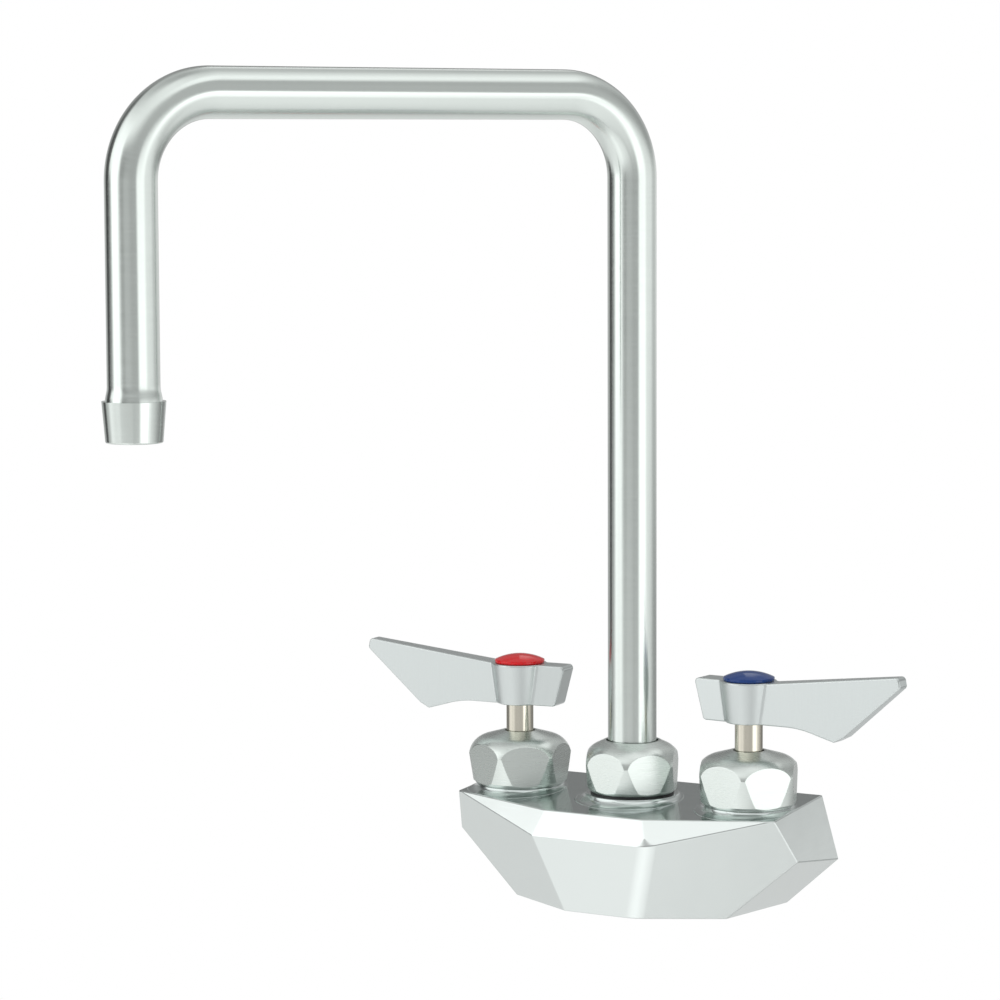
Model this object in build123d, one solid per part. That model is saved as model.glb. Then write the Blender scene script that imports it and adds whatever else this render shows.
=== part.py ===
from build123d import *
import math
import os

# A wall-mounted faucet: a faceted casting with two lever valves and a swivelling bent spout.
# Sizes are in millimetres. The origin is the middle of the wall face at the height of the
# inlets, with X to the right of someone who faces the wall, Y into the wall and Z up.

# Layout
VALVE_SPACING = 101.6  # between the two stems, and between the two inlets
STEM_OUT = 28.6  # the stems and the spout stand this far in front of the wall
TOP_LEVEL = 21.0  # the casting's top on the stem line, above the inlets
SPOUT_SWING = 27.0  # degrees by which the spout stands left of straight out
HOT_FACING = 180.0  # the direction of each closed lever, in degrees from +X
COLD_FACING = 0.0
LEVER_FORWARD = 4.0  # degrees by which both levers stand forward of closed

# Casting, its right half: half width, distance in front of the stem line, depth under the top
BODY_HEIGHT = 42.3
TOP_SLOPE = 0.068  # the top face rises to the wall
FRONT_TOP_HALF = 21.2
FRONT_TOP_OUT = 32.1
KNEE_HALF = 24.85
KNEE_OUT = 36.0
KNEE_DOWN = 12.1
FRONT_FOOT_OUT = 27.5
SIDE_HALF = 74.6
SIDE_OUT = 6.0
SIDE_DOWN = 18.2
SIDE_FOOT_HALF = 46.55
SIDE_FOOT_OUT = 10.4
REAR_TOP_HALF = 68.75
REAR_HALF = 75.85
REAR_DOWN = 22.7

# Bosses and threaded necks on the casting
VALVE_BOSS_RADIUS = 17.2
VALVE_BOSS_TOP = 1.3
SPOUT_BOSS_RADIUS = 18.0
SPOUT_BOSS_TOP = 1.6
BOSS_BLEND = 2.9
BOSS_BLEND_TURN = 65.0  # degrees of the hollow blend before its straight skirt
BOSS_SKIRT = 4.0
NECK_RADIUS = 15.0
NECK_TOP = 10.0
SPOUT_NECK_TOP = 11.2

# Bores in the casting
CHAMBER_RADIUS = 12.0
CHAMBER_FLOOR = -17.5
WELL_RADIUS = 5.5
WELL_FLOOR = -26.0
SPOUT_CHAMBER_FLOOR = -14.0
CROSS_PASSAGE_RADIUS = 4.0
CROSS_PASSAGE_LEVEL = -7.0
INLET_BORE_RADIUS = 9.1  # tapping hole of a 1/2-14 pipe thread
INLET_BORE_DEPTH = 14.5
INLET_MOUTH_RADIUS = 10.7
INLET_MOUTH_DEPTH = 1.6
INLET_PASSAGE_RADIUS = 4.5

# Clearances
THREAD_GAP = 0.1
RUNNING_GAP = 0.05
FREE_GAP = 0.4

# Dome nuts, the same form in two sizes
NUT_CORNER_RADIUS = 20.4
SPOUT_NUT_CORNER_RADIUS = 19.35
NUT_CORNER_BLUNT = 0.4  # what turning takes off the six corners
NUT_SIDES = 6
NUT_WIDEST = 13.5
NUT_TOP = 22.5
NUT_FOOT_TAPER = 1.7
NUT_FOOT_CHAMFER = 1.5
NUT_SHOULDER_IN = 1.2
NUT_SHOULDER_UP = 5.6
NUT_SHOULDER_ROUND = 9.0
NUT_CROWN = 0.8
VALVE_NUT_HOLE = 6.1
SPOUT_NUT_HOLE = 10.3
HOT_NUT_TURN = 36.4  # degrees from +X to a corner
COLD_NUT_TURN = -9.9
SPOUT_NUT_TURN = -9.6

# Valve stem
STEM_RADIUS = 5.4
STEM_FLANGE_RADIUS = 8.5
STEM_FLANGE_THICK = 2.5
STEM_SQUARE = 7.5
STEM_SQUARE_LENGTH = 8.6
TANG_WIDTH = 4.0
TANG_LENGTH = 14.0
TANG_DEPTH = 2.0

# Cartridge, discs and seals
DISC_RADIUS = 9.9
DISC_THICK = 4.0
DISC_PORT_RADIUS = 2.9
DISC_PORT_PLACE = 5.4
SEAL_THICK = 4.8
SEAL_BORE = 5.5
DISC_CHAMBER_RADIUS = 10.3
CARTRIDGE_FOOT = -16.0
WINDOW_WIDTH = 9.0
WINDOW_HEIGHT = 6.5
CARTRIDGE_FLANGE_RADIUS = 14.6
CARTRIDGE_FLANGE_THICK = 2.4
CARTRIDGE_NECK_RADIUS = 8.2
CARTRIDGE_NECK_TOP = 15.9
RING_SECTION = 0.8  # radius of an O-ring's section
GROOVE_WIDTH = 2.0
STEM_RING_LEVEL = 5.0
CARTRIDGE_RING_LEVEL = 3.0
CLIP_THICK = 1.0
CLIP_OUTER = 7.6
CLIP_GROOVE = 4.6
CLIP_OPENING = 5.0

# Handle: heights above the casting's top, distances from the stem
HUB_BOTTOM = 33.4
HUB_TOP = 49.6
HUB_FOOT_RADIUS = 9.1
HUB_HEAD_RADIUS = 11.1
HUB_SOCKET_STEP = 1.0
HUB_WEB_THICK = 2.3
TIP_REACH = 66.95
TIP_TOP = 56.1
TIP_UNDER = 52.0
TIP_LEAN = 0.85  # the tip's upper corner stands this far behind its lower one
TIP_ROUND = 1.7
BELLY_REACH = 43.0  # where the straight lower edge of the blade starts
BELLY_TOP = 31.2
BELLY_LOW_REACH = 39.1
BELLY_LOW = 29.2
SWEEP_END = 31.0  # the underside curves down between these two distances
SWEEP_END_LOW = 31.45
SWEEP_START = 18.5
TAIL_TOP_REACH = 21.9
TAIL_FOOT_REACH = 17.6
TAIL_ROUND = 1.6
BLADE_HALF_HUB = 5.2
BLADE_HALF_TAIL = 4.8
BLADE_HALF_TIP = 3.0
HUB_SEAM_ROUND = 1.6
RIM_ROUND = 0.6  # the cast edges of the blade, the tail and the hub
RIM_ASIDE = 1.5  # every rim's middle is further than this from the lever's mid plane

# Handle screw and index button
SCREW_RADIUS = 2.5
SCREW_LENGTH = 10.0
SCREW_HEAD_RADIUS = 4.5
SCREW_HEAD_HEIGHT = 2.7
SCREW_SLOT = 1.2
BUTTON_RADIUS = 9.9
BUTTON_RIM = 1.3
BUTTON_DOME = 2.3
BUTTON_EDGE_ROUND = 0.6
BUTTON_SPIGOT_RADIUS = 8.0
BUTTON_SPIGOT_WALL = 1.4
BUTTON_SPIGOT_LENGTH = 3.4

# Spout
TUBE_RADIUS = 9.525
TUBE_WALL = 1.2
SPOUT_REACH = 216.0
SPOUT_RISE = 273.7  # middle of the level tube above the casting's top
BEND_RADIUS = 31.75
TUBE_FOOT = -2.0
SLEEVE_FLANGE_RADIUS = 13.8
SLEEVE_FLANGE_THICK = 2.5
SPOUT_RING_LEVELS = (1.5, 6.5)
BEARING_THICK = 1.2
GASKET_RADIUS = 16.4
GASKET_THICK = 0.6

# Outlet
OUTLET_LEVEL = 149.4  # lower end of the aerator above the casting's top
HOUSING_HEIGHT = 14.9
HOUSING_TOP_RADIUS = 11.55
HOUSING_FOOT_RADIUS = 10.3
HOUSING_FOOT_ROUND = 0.7
HOUSING_BORE = 9.35
HOUSING_LIP_BORE = 8.3
HOUSING_LIP_THICK = 1.0
FLARE_RADIUS = 10.3
FLARE_LENGTH = 5.0
ADAPTER_BORE = 6.6
ADAPTER_SPIGOT_LENGTH = 8.0
INSERT_THICK = 3.6
INSERT_HOLE_RADIUS = 0.8
INSERT_HOLE_RINGS = 3
INSERT_HOLE_PITCH = 2.5
FIRST_RING_HOLES = 6
RESTRICTOR_THICK = 1.2
RESTRICTOR_HOLE_RADIUS = 0.7
RESTRICTOR_HOLE_PLACE = 4.2
RESTRICTOR_HOLE_COUNT = 8
SCREEN_THICK = 0.4
SCREEN_COUNT = 2
SCREEN_HOLE_RADIUS = 0.5
SCREEN_HOLE_RINGS = 3
SCREEN_HOLE_PITCH = 2.2

# Derived places
FOOT = (Align.CENTER, Align.CENTER, Align.MIN)
FIXED_DISC_FOOT = CHAMBER_FLOOR + SEAL_THICK
MOVING_DISC_FOOT = FIXED_DISC_FOOT + DISC_THICK + RUNNING_GAP
STEM_FOOT = MOVING_DISC_FOOT + DISC_THICK
CARTRIDGE_ROOF = STEM_FOOT + STEM_FLANGE_THICK + RUNNING_GAP
CARTRIDGE_RADIUS = CHAMBER_RADIUS - THREAD_GAP
CARTRIDGE_FLANGE_TOP = NECK_TOP + CARTRIDGE_FLANGE_THICK
CLIP_LEVEL = CARTRIDGE_NECK_TOP + RUNNING_GAP
STEM_SHOULDER = HUB_BOTTOM + HUB_SOCKET_STEP
STEM_TOP = STEM_SHOULDER + STEM_SQUARE_LENGTH
HUB_WEB_FOOT = STEM_TOP + FREE_GAP
HUB_WEB_TOP = HUB_WEB_FOOT + HUB_WEB_THICK
SLEEVE_RADIUS = CHAMBER_RADIUS - RUNNING_GAP
SLEEVE_FLANGE_FOOT = SPOUT_NECK_TOP + RUNNING_GAP
SLEEVE_FLANGE_TOP = SLEEVE_FLANGE_FOOT + SLEEVE_FLANGE_THICK
BEARING_FOOT = SLEEVE_FLANGE_TOP + RUNNING_GAP
BEARING_TOP = BEARING_FOOT + BEARING_THICK
SPOUT_NUT_FOOT = SPOUT_BOSS_TOP + GASKET_THICK
HOUSING_TOP = OUTLET_LEVEL + HOUSING_HEIGHT
INSERT_FOOT = OUTLET_LEVEL + HOUSING_LIP_THICK
RESTRICTOR_FOOT = INSERT_FOOT + INSERT_THICK + SCREEN_COUNT * SCREEN_THICK
WASHER_FOOT = RESTRICTOR_FOOT + RESTRICTOR_THICK
WASHER_THICK = 1.5
ADAPTER_FOOT = WASHER_FOOT + WASHER_THICK


def disc(radius, low, high):
    """A round bar on the Z axis between two heights."""
    return Pos(0, 0, low) * Cylinder(radius, high - low, align=FOOT)


def ring(outer, inner, low, high):
    """A plain ring on the Z axis between two heights."""
    return disc(outer, low, high) - disc(inner, low, high)


def seal_ring(inner, level):
    """An O-ring that lies on a groove floor of the given radius."""
    return Pos(0, 0, level) * Torus(inner + RING_SECTION, RING_SECTION)


def groove(floor, outer, level, width=GROOVE_WIDTH):
    """The space that a groove takes from a round bar."""
    return ring(outer + width, floor, level - width / 2, level + width / 2)


def holes_in_rings(radius, rings, pitch, low, high):
    """Round holes on the axis and in rings around it, with a ring's count more in each ring."""
    holes = [disc(radius, low, high)]
    for number in range(1, rings + 1):
        count = FIRST_RING_HOLES * number
        for step in range(count):
            turn = Rot(0, 0, 360 * step / count)
            holes.append(turn * Pos(number * pitch, 0, 0) * disc(radius, low, high))
    return holes


# The casting

def facet(first, second, third):
    """A plane through three corners that faces away from the middle of the casting."""
    first, second, third = Vector(*first), Vector(*second), Vector(*third)
    normal = (second - first).cross(third - first).normalized()
    middle = Vector(0, 0, -BODY_HEIGHT / 2)
    if normal.dot(middle - first) > 0:
        normal = normal * -1
    return Plane(origin=first, z_dir=normal)


def meeting_point(one, two, three):
    """The point that three planes share."""
    a, b, c = one.z_dir, two.z_dir, three.z_dir
    total = (
        b.cross(c) * one.origin.dot(a)
        + c.cross(a) * two.origin.dot(b)
        + a.cross(b) * three.origin.dot(c)
    )
    return total * (1 / a.dot(b.cross(c)))


def facets(side):
    """The facets on one side of the casting: 1 is the right side and -1 the left."""
    front_top = (side * FRONT_TOP_HALF, -FRONT_TOP_OUT, -TOP_SLOPE * FRONT_TOP_OUT)
    knee = (side * KNEE_HALF, -KNEE_OUT, -KNEE_DOWN)
    flank = (side * SIDE_HALF, -SIDE_OUT, -SIDE_DOWN)
    side_foot = (side * SIDE_FOOT_HALF, -SIDE_FOOT_OUT, -BODY_HEIGHT)
    rear_top = (side * REAR_TOP_HALF, STEM_OUT, TOP_SLOPE * STEM_OUT)
    rear = (side * REAR_HALF, STEM_OUT, -REAR_DOWN)
    big_side = facet(knee, flank, side_foot)
    upper_end = facet(rear_top, rear, flank)
    lower_end = facet(flank, rear, side_foot)
    shoulder = meeting_point(top_face(), big_side, upper_end)
    side_chamfer = facet(front_top, knee, tuple(shoulder))
    return [big_side, upper_end, lower_end, side_chamfer]


def top_face():
    return Plane(origin=(0, 0, 0), z_dir=(0, -TOP_SLOPE, 1))


def casting_walls():
    """The casting without its top face, which the bosses and necks stay within."""
    width = 4 * REAR_HALF
    depth = 2 * (STEM_OUT + KNEE_OUT)
    height = BODY_HEIGHT + NUT_TOP
    block = Pos(0, STEM_OUT, -BODY_HEIGHT) * Box(
        width, depth, height, align=(Align.CENTER, Align.MAX, Align.MIN)
    )
    front_chamfer = facet(
        (0, -FRONT_TOP_OUT, -TOP_SLOPE * FRONT_TOP_OUT),
        (KNEE_HALF, -KNEE_OUT, -KNEE_DOWN),
        (-KNEE_HALF, -KNEE_OUT, -KNEE_DOWN),
    )
    front = facet(
        (0, -FRONT_FOOT_OUT, -BODY_HEIGHT),
        (KNEE_HALF, -KNEE_OUT, -KNEE_DOWN),
        (-KNEE_HALF, -KNEE_OUT, -KNEE_DOWN),
    )
    for plane in [front_chamfer, front] + facets(1) + facets(-1):
        block = split(block, bisect_by=plane, keep=Keep.BOTTOM)
    return block


def boss(radius, top):
    """A round boss that runs out into the sloping top face with a hollow blend."""
    turn = math.radians(BOSS_BLEND_TURN)
    blend_out = radius + BOSS_BLEND * (1 - math.cos(turn))
    blend_low = top - BOSS_BLEND * math.sin(turn)
    skirt_out = blend_out + BOSS_SKIRT * math.sin(turn)
    skirt_low = blend_low - BOSS_SKIRT * math.cos(turn)
    with BuildPart() as shape:
        with BuildSketch(Plane.XZ):
            with BuildLine():
                CenterArc((radius + BOSS_BLEND, top), BOSS_BLEND, 180, BOSS_BLEND_TURN)
                Polyline(
                    (blend_out, blend_low),
                    (skirt_out, skirt_low),
                    (0, skirt_low),
                    (0, top),
                    (radius, top),
                )
            make_face()
        revolve(axis=Axis.Z)
    return shape.part


def valve_body():
    walls = casting_walls()
    body = split(walls, bisect_by=top_face(), keep=Keep.BOTTOM)
    half = VALVE_SPACING / 2
    raised = boss(SPOUT_BOSS_RADIUS, SPOUT_BOSS_TOP) + disc(NECK_RADIUS, 0, SPOUT_NECK_TOP)
    for x in (-half, half):
        neck = boss(VALVE_BOSS_RADIUS, VALVE_BOSS_TOP) + disc(NECK_RADIUS, 0, NECK_TOP)
        raised += Pos(x, 0, 0) * neck
    body += raised & walls
    body -= disc(CHAMBER_RADIUS, SPOUT_CHAMBER_FLOOR, SPOUT_NECK_TOP)
    cross = Rot(0, 90, 0) * Cylinder(CROSS_PASSAGE_RADIUS, VALVE_SPACING)
    body -= Pos(0, 0, CROSS_PASSAGE_LEVEL) * cross
    for x in (-half, half):
        body -= Pos(x, 0, 0) * disc(CHAMBER_RADIUS, CHAMBER_FLOOR, NECK_TOP)
        body -= Pos(x, 0, 0) * disc(WELL_RADIUS, WELL_FLOOR, CHAMBER_FLOOR)
        inlet = disc(INLET_BORE_RADIUS, 0, INLET_BORE_DEPTH)
        inlet += Cone(INLET_MOUTH_RADIUS, INLET_BORE_RADIUS, INLET_MOUTH_DEPTH, align=FOOT)
        inlet += disc(INLET_PASSAGE_RADIUS, INLET_BORE_DEPTH, STEM_OUT)
        body -= Pos(x, STEM_OUT, -TOP_LEVEL) * Rot(90, 0, 0) * inlet
    return body


# Dome nuts

def dome_nut(corner_radius, foot, turn, bore, bore_top, hole):
    """A nut with six upright flats, a tapered foot and a rounded top."""
    foot_radius = corner_radius - NUT_FOOT_TAPER
    shoulder = (corner_radius - NUT_SHOULDER_IN, NUT_WIDEST + NUT_SHOULDER_UP)
    with BuildPart() as shape:
        with BuildSketch(Plane.XZ) as profile:
            with BuildLine():
                Polyline(
                    (0, NUT_TOP),
                    (0, foot),
                    (foot_radius - NUT_FOOT_CHAMFER, foot),
                    (foot_radius, foot + NUT_FOOT_CHAMFER),
                    (corner_radius, NUT_WIDEST),
                    shoulder,
                    (hole + NUT_CROWN, NUT_TOP),
                    close=True,
                )
            make_face()
            corner = profile.vertices().sort_by_distance(shoulder)[0]
            fillet(corner, NUT_SHOULDER_ROUND)
        revolve(axis=Axis.Z)
    hexagon = RegularPolygon(corner_radius + NUT_CORNER_BLUNT, NUT_SIDES)
    prism = Rot(0, 0, turn) * extrude(hexagon, NUT_TOP)
    domed = shape.part & prism
    domed -= disc(hole, foot, NUT_TOP)
    return domed - disc(bore, foot, bore_top)


def bonnet_nut(turn):
    """The nut that holds a cartridge down on its neck."""
    bore = NECK_RADIUS + THREAD_GAP
    nut = dome_nut(
        NUT_CORNER_RADIUS, VALVE_BOSS_TOP, turn, bore, CARTRIDGE_FLANGE_TOP, VALVE_NUT_HOLE
    )
    pocket = CARTRIDGE_NECK_RADIUS + FREE_GAP
    return nut - disc(pocket, CARTRIDGE_FLANGE_TOP, CLIP_LEVEL + CLIP_THICK + FREE_GAP)


def spout_nut():
    bore = NECK_RADIUS + THREAD_GAP
    return dome_nut(
        SPOUT_NUT_CORNER_RADIUS, SPOUT_NUT_FOOT, SPOUT_NUT_TURN, bore, BEARING_TOP, SPOUT_NUT_HOLE
    )


# Valve insides, drawn around the stem's axis

def cartridge_body():
    body = disc(CARTRIDGE_RADIUS, CARTRIDGE_FOOT, NECK_TOP)
    body += disc(CARTRIDGE_FLANGE_RADIUS, NECK_TOP, CARTRIDGE_FLANGE_TOP)
    body += disc(CARTRIDGE_NECK_RADIUS, CARTRIDGE_FLANGE_TOP, CARTRIDGE_NECK_TOP)
    body -= disc(DISC_CHAMBER_RADIUS, CARTRIDGE_FOOT, CARTRIDGE_ROOF)
    body -= disc(STEM_RADIUS + RUNNING_GAP, CARTRIDGE_ROOF, CARTRIDGE_NECK_TOP)
    floor = CARTRIDGE_RADIUS - 2 * RING_SECTION + THREAD_GAP
    body -= groove(floor, CARTRIDGE_RADIUS, CARTRIDGE_RING_LEVEL)
    window = Box(2 * CHAMBER_RADIUS, WINDOW_WIDTH, WINDOW_HEIGHT)
    return body - Pos(0, 0, CROSS_PASSAGE_LEVEL) * window


def cartridge_o_ring():
    floor = CARTRIDGE_RADIUS - 2 * RING_SECTION + THREAD_GAP
    return seal_ring(floor, CARTRIDGE_RING_LEVEL)


def seat_seal():
    return ring(DISC_CHAMBER_RADIUS, SEAL_BORE, CHAMBER_FLOOR, FIXED_DISC_FOOT)


def valve_disc(radius, foot, port_turn):
    """A ceramic disc with two round ports."""
    plate = disc(radius, foot, foot + DISC_THICK)
    for half_turn in (0, 180):
        port = Pos(DISC_PORT_PLACE, 0, 0) * disc(DISC_PORT_RADIUS, foot, foot + DISC_THICK)
        plate -= Rot(0, 0, port_turn + half_turn) * port
    return plate


def fixed_disc():
    return valve_disc(DISC_CHAMBER_RADIUS - RUNNING_GAP, FIXED_DISC_FOOT, 90)


def moving_disc():
    plate = valve_disc(DISC_RADIUS, MOVING_DISC_FOOT, 0)
    slot = Box(TANG_WIDTH, TANG_LENGTH, TANG_DEPTH, align=FOOT)
    return plate - Pos(0, 0, STEM_FOOT - TANG_DEPTH) * slot


def stem_ring_floor():
    return STEM_RADIUS + RUNNING_GAP - 2 * RING_SECTION - RUNNING_GAP


def stem():
    shaft = disc(STEM_RADIUS, STEM_FOOT, STEM_SHOULDER)
    shaft += disc(STEM_FLANGE_RADIUS, STEM_FOOT, STEM_FOOT + STEM_FLANGE_THICK)
    tang = Box(TANG_WIDTH, TANG_LENGTH, TANG_DEPTH, align=FOOT)
    shaft += Pos(0, 0, STEM_FOOT - TANG_DEPTH) * tang
    square = Box(STEM_SQUARE, STEM_SQUARE, STEM_SQUARE_LENGTH, align=FOOT)
    shaft += Pos(0, 0, STEM_SHOULDER) * square
    shaft -= groove(stem_ring_floor(), STEM_RADIUS, STEM_RING_LEVEL)
    shaft -= groove(CLIP_GROOVE, STEM_RADIUS, CLIP_LEVEL + CLIP_THICK / 2, CLIP_THICK)
    return shaft - disc(SCREW_RADIUS, HUB_WEB_TOP - SCREW_LENGTH, STEM_TOP)


def stem_o_ring():
    return seal_ring(stem_ring_floor(), STEM_RING_LEVEL)


def stem_clip():
    """The open ring that keeps the stem from being pushed down out of its neck."""
    clip = ring(CLIP_OUTER, CLIP_GROOVE, CLIP_LEVEL, CLIP_LEVEL + CLIP_THICK)
    gap = Box(CLIP_OUTER, CLIP_OPENING, CLIP_THICK, align=(Align.MIN, Align.CENTER, Align.MIN))
    return clip - Pos(0, 0, CLIP_LEVEL) * gap


# Handle, drawn with its blade along +X

def blade_outline():
    """The blade and tail seen from the front."""
    with BuildSketch(Plane.XZ) as outline:
        with BuildLine():
            Polyline(
                (SWEEP_END, SWEEP_END_LOW),
                (BELLY_LOW_REACH, BELLY_LOW),
                (BELLY_REACH, BELLY_TOP),
                (TIP_REACH, TIP_UNDER),
                (TIP_REACH - TIP_LEAN, TIP_TOP),
                (HUB_HEAD_RADIUS, HUB_TOP),
                (-TAIL_TOP_REACH, HUB_TOP),
                (-TAIL_FOOT_REACH, HUB_BOTTOM),
                (SWEEP_START, HUB_BOTTOM),
            )
            TangentArc((SWEEP_START, HUB_BOTTOM), (SWEEP_END, SWEEP_END_LOW), tangent=(1, 0))
        make_face()
        fillet(outline.vertices().sort_by(Axis.X)[-2:], TIP_ROUND)
        fillet(outline.vertices().sort_by(Axis.X)[:2], TAIL_ROUND)
    return outline.sketch


def blade():
    front_view = extrude(blade_outline(), amount=HUB_HEAD_RADIUS, both=True)
    with BuildSketch(Plane.XY) as plan:
        with BuildLine():
            Polyline(
                (-TAIL_TOP_REACH, BLADE_HALF_TAIL),
                (0, BLADE_HALF_HUB),
                (TIP_REACH, BLADE_HALF_TIP),
                (TIP_REACH, -BLADE_HALF_TIP),
                (0, -BLADE_HALF_HUB),
                (-TAIL_TOP_REACH, -BLADE_HALF_TAIL),
                close=True,
            )
        make_face()
    return front_view & extrude(plan.sketch, amount=TIP_TOP)


def is_upright_at_hub(edge):
    """Whether an edge runs up the hub's side, where the blade or the tail leaves it."""
    tall = abs((edge @ 0).Z - (edge @ 1).Z) > (HUB_TOP - HUB_BOTTOM) / 2
    return tall and abs(edge.center().X) < HUB_HEAD_RADIUS


def hub_seams(shape):
    """The four upright edges where the blade and the tail leave the hub."""
    seams = []
    for edge in shape.edges():
        aside = BLADE_HALF_TIP < abs(edge.center().Y) < HUB_FOOT_RADIUS
        if is_upright_at_hub(edge) and aside:
            seams.append(edge)
    return seams


def rims(shape):
    """The outer edges on both sides of the lever, all but those that run up the hub."""
    return [
        edge
        for edge in shape.edges()
        if abs(edge.center().Y) > RIM_ASIDE and not is_upright_at_hub(edge)
    ]


def handle():
    """A cast lever with a broad blade, a short tail and a round hub."""
    hub = Pos(0, 0, HUB_BOTTOM) * Cone(
        HUB_FOOT_RADIUS, HUB_HEAD_RADIUS, HUB_TOP - HUB_BOTTOM, align=FOOT
    )
    shape = blade() + hub
    shape = fillet(hub_seams(shape), HUB_SEAM_ROUND)
    shape = fillet(rims(shape), RIM_ROUND)
    shape -= disc(STEM_RADIUS + RUNNING_GAP, HUB_BOTTOM, STEM_SHOULDER)
    socket = Box(
        STEM_SQUARE + RUNNING_GAP, STEM_SQUARE + RUNNING_GAP, HUB_WEB_FOOT - STEM_SHOULDER, align=FOOT
    )
    shape -= Pos(0, 0, STEM_SHOULDER) * socket
    shape -= disc(SCREW_RADIUS + THREAD_GAP, HUB_WEB_FOOT, HUB_WEB_TOP)
    return shape - disc(BUTTON_SPIGOT_RADIUS, HUB_WEB_TOP, HUB_TOP + HUB_SOCKET_STEP)


def handle_screw():
    screw = disc(SCREW_RADIUS, HUB_WEB_TOP - SCREW_LENGTH, HUB_WEB_TOP)
    head = disc(SCREW_HEAD_RADIUS, HUB_WEB_TOP, HUB_WEB_TOP + SCREW_HEAD_HEIGHT)
    head = fillet(head.edges().sort_by(Axis.Z)[-1], SCREW_HEAD_HEIGHT / 3)
    slot = Box(2 * SCREW_HEAD_RADIUS, SCREW_SLOT, SCREW_SLOT, align=(Align.CENTER, Align.CENTER, Align.MAX))
    return screw + head - Pos(0, 0, HUB_WEB_TOP + SCREW_HEAD_HEIGHT) * slot


def index_button():
    """A domed button with a hollow spigot that snaps into the hub."""
    rim_top = HUB_TOP + BUTTON_RIM
    dome_top = rim_top + BUTTON_DOME
    with BuildPart() as shape:
        with BuildSketch(Plane.XZ):
            with BuildLine():
                Polyline(
                    (0, dome_top),
                    (0, HUB_TOP),
                    (BUTTON_RADIUS - BUTTON_EDGE_ROUND, HUB_TOP),
                )
                RadiusArc(
                    (BUTTON_RADIUS - BUTTON_EDGE_ROUND, HUB_TOP),
                    (BUTTON_RADIUS, HUB_TOP + BUTTON_EDGE_ROUND),
                    -BUTTON_EDGE_ROUND,
                )
                Line((BUTTON_RADIUS, HUB_TOP + BUTTON_EDGE_ROUND), (BUTTON_RADIUS, rim_top))
                RadiusArc((BUTTON_RADIUS, rim_top), (0, dome_top), -dome_radius())
            make_face()
        revolve(axis=Axis.Z)
    spigot_foot = HUB_TOP - BUTTON_SPIGOT_LENGTH
    inner = BUTTON_SPIGOT_RADIUS - BUTTON_SPIGOT_WALL
    return shape.part + ring(BUTTON_SPIGOT_RADIUS, inner, spigot_foot, HUB_TOP)


def dome_radius():
    """The sphere that gives the button's dome its width and height."""
    return (BUTTON_RADIUS**2 + BUTTON_DOME**2) / (2 * BUTTON_DOME)


# Spout, drawn around the riser's axis with its outlet towards -Y

def bent_bar(radius):
    """A round bar along the spout's route."""
    drop = HOUSING_TOP + FLARE_LENGTH
    route = FilletPolyline(
        (0, 0, TUBE_FOOT),
        (0, 0, SPOUT_RISE),
        (0, -SPOUT_REACH, SPOUT_RISE),
        (0, -SPOUT_REACH, drop),
        radius=BEND_RADIUS,
    )
    section = Plane(origin=(0, 0, TUBE_FOOT), z_dir=(0, 0, 1)) * Circle(radius)
    return sweep(section, path=route)


def flare(narrow, wide):
    """The widened end of the tube."""
    foot = Pos(0, -SPOUT_REACH, HOUSING_TOP)
    return foot * Cone(wide, narrow, FLARE_LENGTH, align=FOOT)


def spout_tube():
    bore = TUBE_RADIUS - TUBE_WALL
    outside = bent_bar(TUBE_RADIUS) + flare(TUBE_RADIUS, FLARE_RADIUS)
    inside = bent_bar(bore) + flare(bore, FLARE_RADIUS - TUBE_WALL)
    return outside - inside


def sleeve_ring_floor():
    return SLEEVE_RADIUS - 2 * RING_SECTION


def spout_base_sleeve():
    """The flanged sleeve on the tube's foot, which turns in the casting."""
    sleeve = ring(SLEEVE_RADIUS, TUBE_RADIUS, TUBE_FOOT, SLEEVE_FLANGE_FOOT)
    sleeve += ring(SLEEVE_FLANGE_RADIUS, TUBE_RADIUS, SLEEVE_FLANGE_FOOT, SLEEVE_FLANGE_TOP)
    for level in SPOUT_RING_LEVELS:
        sleeve -= groove(sleeve_ring_floor(), SLEEVE_RADIUS, level)
    return sleeve


def spout_o_rings():
    return [seal_ring(sleeve_ring_floor(), level) for level in SPOUT_RING_LEVELS]


def spout_bearing_ring():
    return ring(NECK_RADIUS, TUBE_RADIUS + FREE_GAP, BEARING_FOOT, BEARING_TOP)


def spout_gasket():
    return ring(GASKET_RADIUS, NECK_RADIUS + THREAD_GAP, SPOUT_BOSS_TOP, SPOUT_NUT_FOOT)


# Outlet, drawn around its own axis

def outlet_adapter():
    """The threaded piece that is brazed into the tube's widened end."""
    thread = disc(HOUSING_BORE - THREAD_GAP / 2, ADAPTER_FOOT, HOUSING_TOP)
    spigot = disc(TUBE_RADIUS - TUBE_WALL, HOUSING_TOP, HOUSING_TOP + ADAPTER_SPIGOT_LENGTH)
    top = HOUSING_TOP + ADAPTER_SPIGOT_LENGTH
    return thread + spigot - disc(ADAPTER_BORE, ADAPTER_FOOT, top)


def aerator_housing():
    """The tapered shell with a sharp rim that shows at the end of the spout."""
    shell = Pos(0, 0, OUTLET_LEVEL) * Cone(
        HOUSING_FOOT_RADIUS, HOUSING_TOP_RADIUS, HOUSING_HEIGHT, align=FOOT
    )
    shell = fillet(shell.edges().sort_by(Axis.Z)[0], HOUSING_FOOT_ROUND)
    shell -= disc(HOUSING_LIP_BORE, OUTLET_LEVEL, INSERT_FOOT)
    return shell - disc(HOUSING_BORE, INSERT_FOOT, HOUSING_TOP)


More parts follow.
